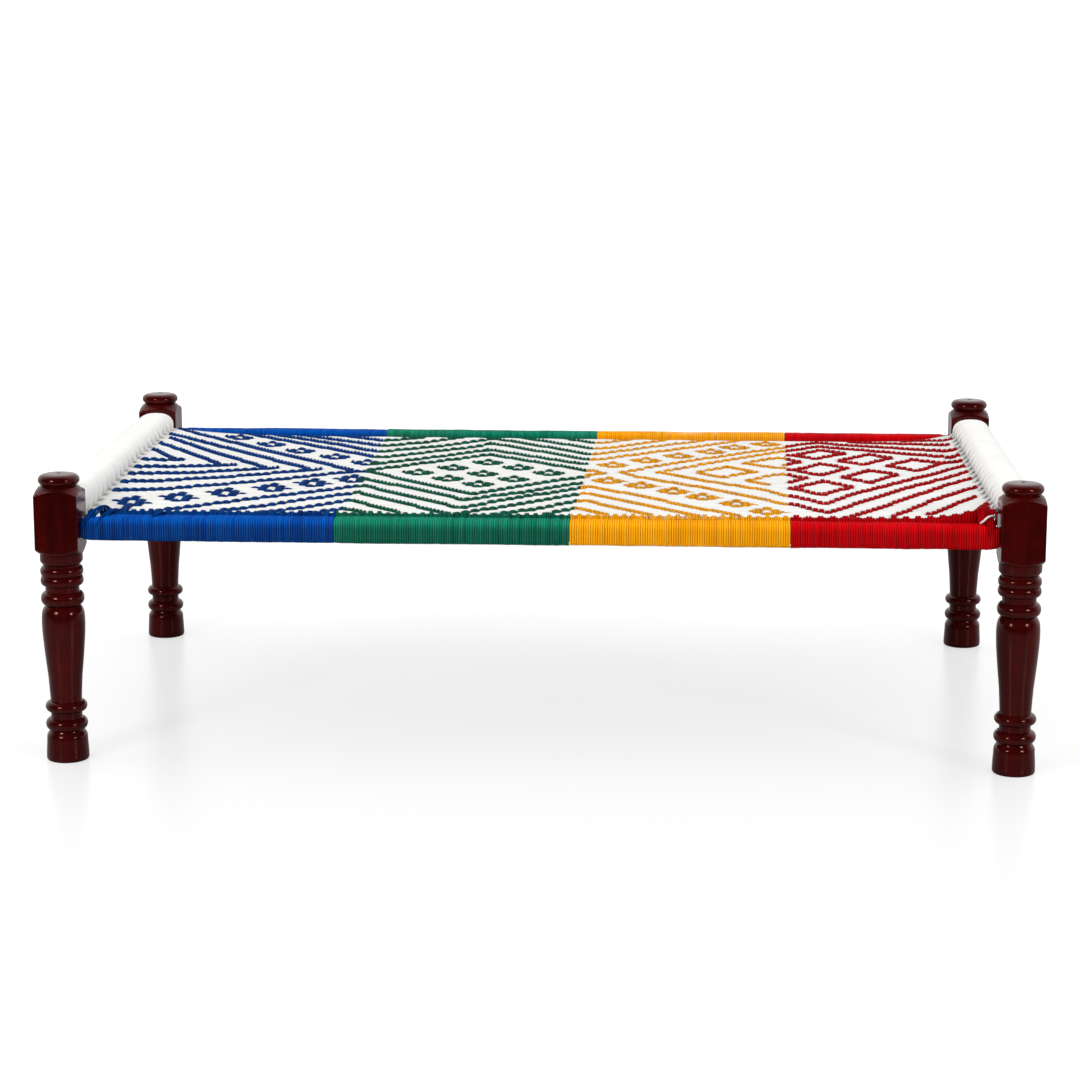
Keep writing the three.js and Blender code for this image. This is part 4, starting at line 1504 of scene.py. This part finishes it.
def crease_painted_shade(top, points):
    """Painted shade on the lengthwise cords where their bundles part beside a roll."""
    near_edge = bell(1 - at_rib_edge(points[:, 1]), CREASE_SHADE_WIDTH)
    beside = bell(top.reach - np.abs(points[:, 0]), CREASE_WIDTH)
    left, right = (even + more * near_edge for even, more in CREASE_PAINTED_SHADE)
    return np.where(points[:, 0] < 0, left, right) * beside


class CHARPAI_OT_lengthwise_cords(Operator):
    """Stretches the white cords that run from end roll to end roll"""
    bl_idname = "charpai.lengthwise_cords"
    bl_label = "Lengthwise cords"

    def execute(self, context):
        scene = context.scene
        random = np.random.default_rng(SEEDS["lengthwise"])
        top = WovenTop(scene.charpai_cords)
        made = lengthwise_cords(top, scene.charpai_cords, random)
        material = cord_material(
            "woven_white_cord", scene.charpai_colours.white,
            deep=0.84, pale=1.02, lay=scene.charpai_cords.lay, across=1, contact=0.35)
        share = math.ceil(len(made) / len(WARP_PIECES))
        for number, name in enumerate(WARP_PIECES):
            own = made[number * share:(number + 1) * share]
            # Painted shade in the crease beside each roll
            soil = crease_painted_shade(top, np.concatenate([rings.reshape(-1, 3) for rings in own]))
            piece = cord_piece(f"woven_warp_{name}", own, soil)
            fit_out(piece, material, "cord_white", "warp_white")
        return {"FINISHED"}


# The stage

WHITE, BLACK = (1.0, 1.0, 1.0, 1.0), (0.0, 0.0, 0.0, 1.0)
# The floor reaches this far behind and to the sides, and this far in front.
FLOOR_REACH, FLOOR_FRONT, FLOOR_HEIGHT = 12.0, -2.15, -0.1 * MM
FLOOR_COLOUR, FLOOR_ROUGHNESS, FLOOR_LEVEL = (0.33, 0.33, 0.33, 1), 0.28, 0.12
# The floor's own glow: over which distances from its middle it whitens, and how strong it is at each
GLOW_PLACES, GLOWS = (1.4, 2.1), (0.585, 0.8)
# What the lacquer mirrors darkens from the back to the front, between these directions.
BACKDROP, BACKDROP_SHADES = (-0.3, 0.6), (0.02, 1.0)
SOFTBOX_PLACES = {"left": (-2.5, -3.6, 1.9), "right": (3.6, -3.4, 1.9)}
SOFTBOX_AIM, SOFTBOX_SIZE = (0.0, 0.0, 0.35), (0.85, 0.65)


def softbox(name, place, aim, width, height, power):
    """A rectangular lamp at a place, turned to its aim."""
    lamp = bpy.data.lights.new(name, "AREA")
    lamp.shape = "RECTANGLE"
    lamp.size, lamp.size_y, lamp.energy = width, height, power
    box = bpy.data.objects.new(name, lamp)
    box.location = place
    away = np.array(place) - np.array(aim)
    flat = math.hypot(away[0], away[1])
    box.rotation_euler = (math.pi / 2 - math.atan2(away[2], flat), 0, math.atan2(away[0], -away[1]))
    bpy.context.scene.collection.objects.link(box)


def make_floor():
    """A pale glossy floor that glows to the camera, and can be seen through from below."""
    corners = ((-1, FLOOR_FRONT), (1, FLOOR_FRONT), (1, FLOOR_REACH), (-1, FLOOR_REACH))
    points = np.array([(side * FLOOR_REACH, y, FLOOR_HEIGHT) for side, y in corners])
    floor = build_mesh("floor", points, [np.array([[0, 1, 2, 3]])])
    material, s, surface = new_material("pale_floor")
    surface.inputs["Base Color"].default_value = FLOOR_COLOUR
    surface.inputs["Roughness"].default_value = FLOOR_ROUGHNESS
    surface.inputs["Specular IOR Level"].default_value = FLOOR_LEVEL
    path = s.add("ShaderNodeLightPath")
    place = s.add("ShaderNodeNewGeometry")
    from_middle = s.add("ShaderNodeVectorMath", {0: place.outputs["Position"]}, operation="LENGTH")
    whiter = s.spread(from_middle.outputs["Value"], *GLOW_PLACES, *GLOWS)
    strength = s.math("MULTIPLY", path.outputs["Is Camera Ray"], whiter)
    glow = s.add("ShaderNodeEmission", {"Color": WHITE, "Strength": strength})
    lit = s.add("ShaderNodeAddShader", {0: surface.outputs[0], 1: glow.outputs[0]})
    seen_through = s.add("ShaderNodeBsdfTransparent")
    both = s.add("ShaderNodeMixShader", {
        0: place.outputs["Backfacing"], 1: lit.outputs[0], 2: seen_through.outputs[0]})
    output = next(node for node in material.node_tree.nodes if node.type == "OUTPUT_MATERIAL")
    s.feed(output.inputs["Surface"], both.outputs[0])
    floor.data.materials.append(material)


def make_world(scene, zenith, horizon):
    """A white surround that lights the bed, and that the lacquer mirrors darker at its front."""
    world = bpy.data.worlds.new("studio")
    world.use_nodes = True
    world.node_tree.nodes.clear()
    s = Shading(world.node_tree)
    path = s.add("ShaderNodeLightPath")
    direction = s.add("ShaderNodeSeparateXYZ", {0: s.add("ShaderNodeTexCoord").outputs["Generated"]})
    backdrop = s.spread(direction.outputs[1], *BACKDROP, *BACKDROP_SHADES)
    dome = s.spread(direction.outputs[2], 0.0, 0.9, horizon, zenith)
    reflected = s.math("MAXIMUM", path.outputs["Is Glossy Ray"], path.outputs["Is Transmission Ray"])
    mirrored = s.mix(reflected, dome, WHITE)
    dimmed = masked(s, reflected, s.math("SUBTRACT", 1.0, backdrop), mirrored, BLACK)
    strength = s.mix(path.outputs["Is Camera Ray"], dimmed, WHITE)
    background = s.add("ShaderNodeBackground", {"Color": WHITE, "Strength": strength})
    s.feed(s.add("ShaderNodeOutputWorld").inputs["Surface"], background.outputs[0])
    scene.world = world


class CHARPAI_OT_stage(Operator):
    """Sets the pale floor, the white surround, the softboxes and the camera"""
    bl_idname = "charpai.stage"
    bl_label = "Stage"

    def execute(self, context):
        scene = context.scene
        stage = scene.charpai_stage
        scene.view_settings.view_transform = "Standard"
        make_floor()
        make_world(scene, stage.zenith, stage.horizon)
        for side, place in SOFTBOX_PLACES.items():
            softbox(f"softbox_{side}", place, SOFTBOX_AIM, *SOFTBOX_SIZE, stage.softbox)
        camera = bpy.data.cameras.new("camera")
        camera.sensor_width = 36.0
        camera.sensor_fit = "HORIZONTAL"
        camera.lens = stage.lens
        holder = bpy.data.objects.new("camera", camera)
        holder.location = stage.place
        holder.rotation_euler = (math.pi / 2 - stage.tilt, 0.0, stage.turn)
        scene.collection.objects.link(holder)
        scene.camera = holder
        return {"FINISHED"}


class CHARPAI_PT_panel(Panel):
    """Settings of the charpai, and a button for each of its pieces"""
    bl_idname = "CHARPAI_PT_panel"
    bl_label = "Charpai"
    bl_space_type = "VIEW_3D"
    bl_region_type = "UI"
    bl_category = "Charpai"

    def draw(self, context):
        for settings in (
            context.scene.charpai_cords, context.scene.charpai_colours, context.scene.charpai_stage,
        ):
            box = self.layout.box()
            for name in settings.__annotations__:
                box.prop(settings, name)
        for operator in OPERATORS:
            self.layout.operator(operator.bl_idname)


SETTINGS = {
    "charpai_cords": CharpaiCords,
    "charpai_colours": CharpaiColours,
    "charpai_stage": CharpaiStage,
}
OPERATORS = (
    CHARPAI_OT_stage, CHARPAI_OT_legs, CHARPAI_OT_rails, CHARPAI_OT_side_wraps, CHARPAI_OT_end_rolls,
    CHARPAI_OT_crosswise_cords, CHARPAI_OT_lengthwise_cords,
)
CLASSES = (*SETTINGS.values(), *OPERATORS, CHARPAI_PT_panel)


def register():
    for made in CLASSES:
        bpy.utils.register_class(made)
    for name, settings in SETTINGS.items():
        setattr(bpy.types.Scene, name, PointerProperty(type=settings))


def unregister():
    for name in SETTINGS:
        delattr(bpy.types.Scene, name)
    for made in reversed(CLASSES):
        bpy.utils.unregister_class(made)


def main():
    register()
    bpy.ops.charpai.stage()
    bpy.ops.charpai.legs()
    bpy.ops.charpai.rails()
    bpy.ops.charpai.side_wraps()
    bpy.ops.charpai.end_rolls()
    bpy.ops.charpai.crosswise_cords()
    bpy.ops.charpai.lengthwise_cords()


if __name__ == "__main__":
    main()
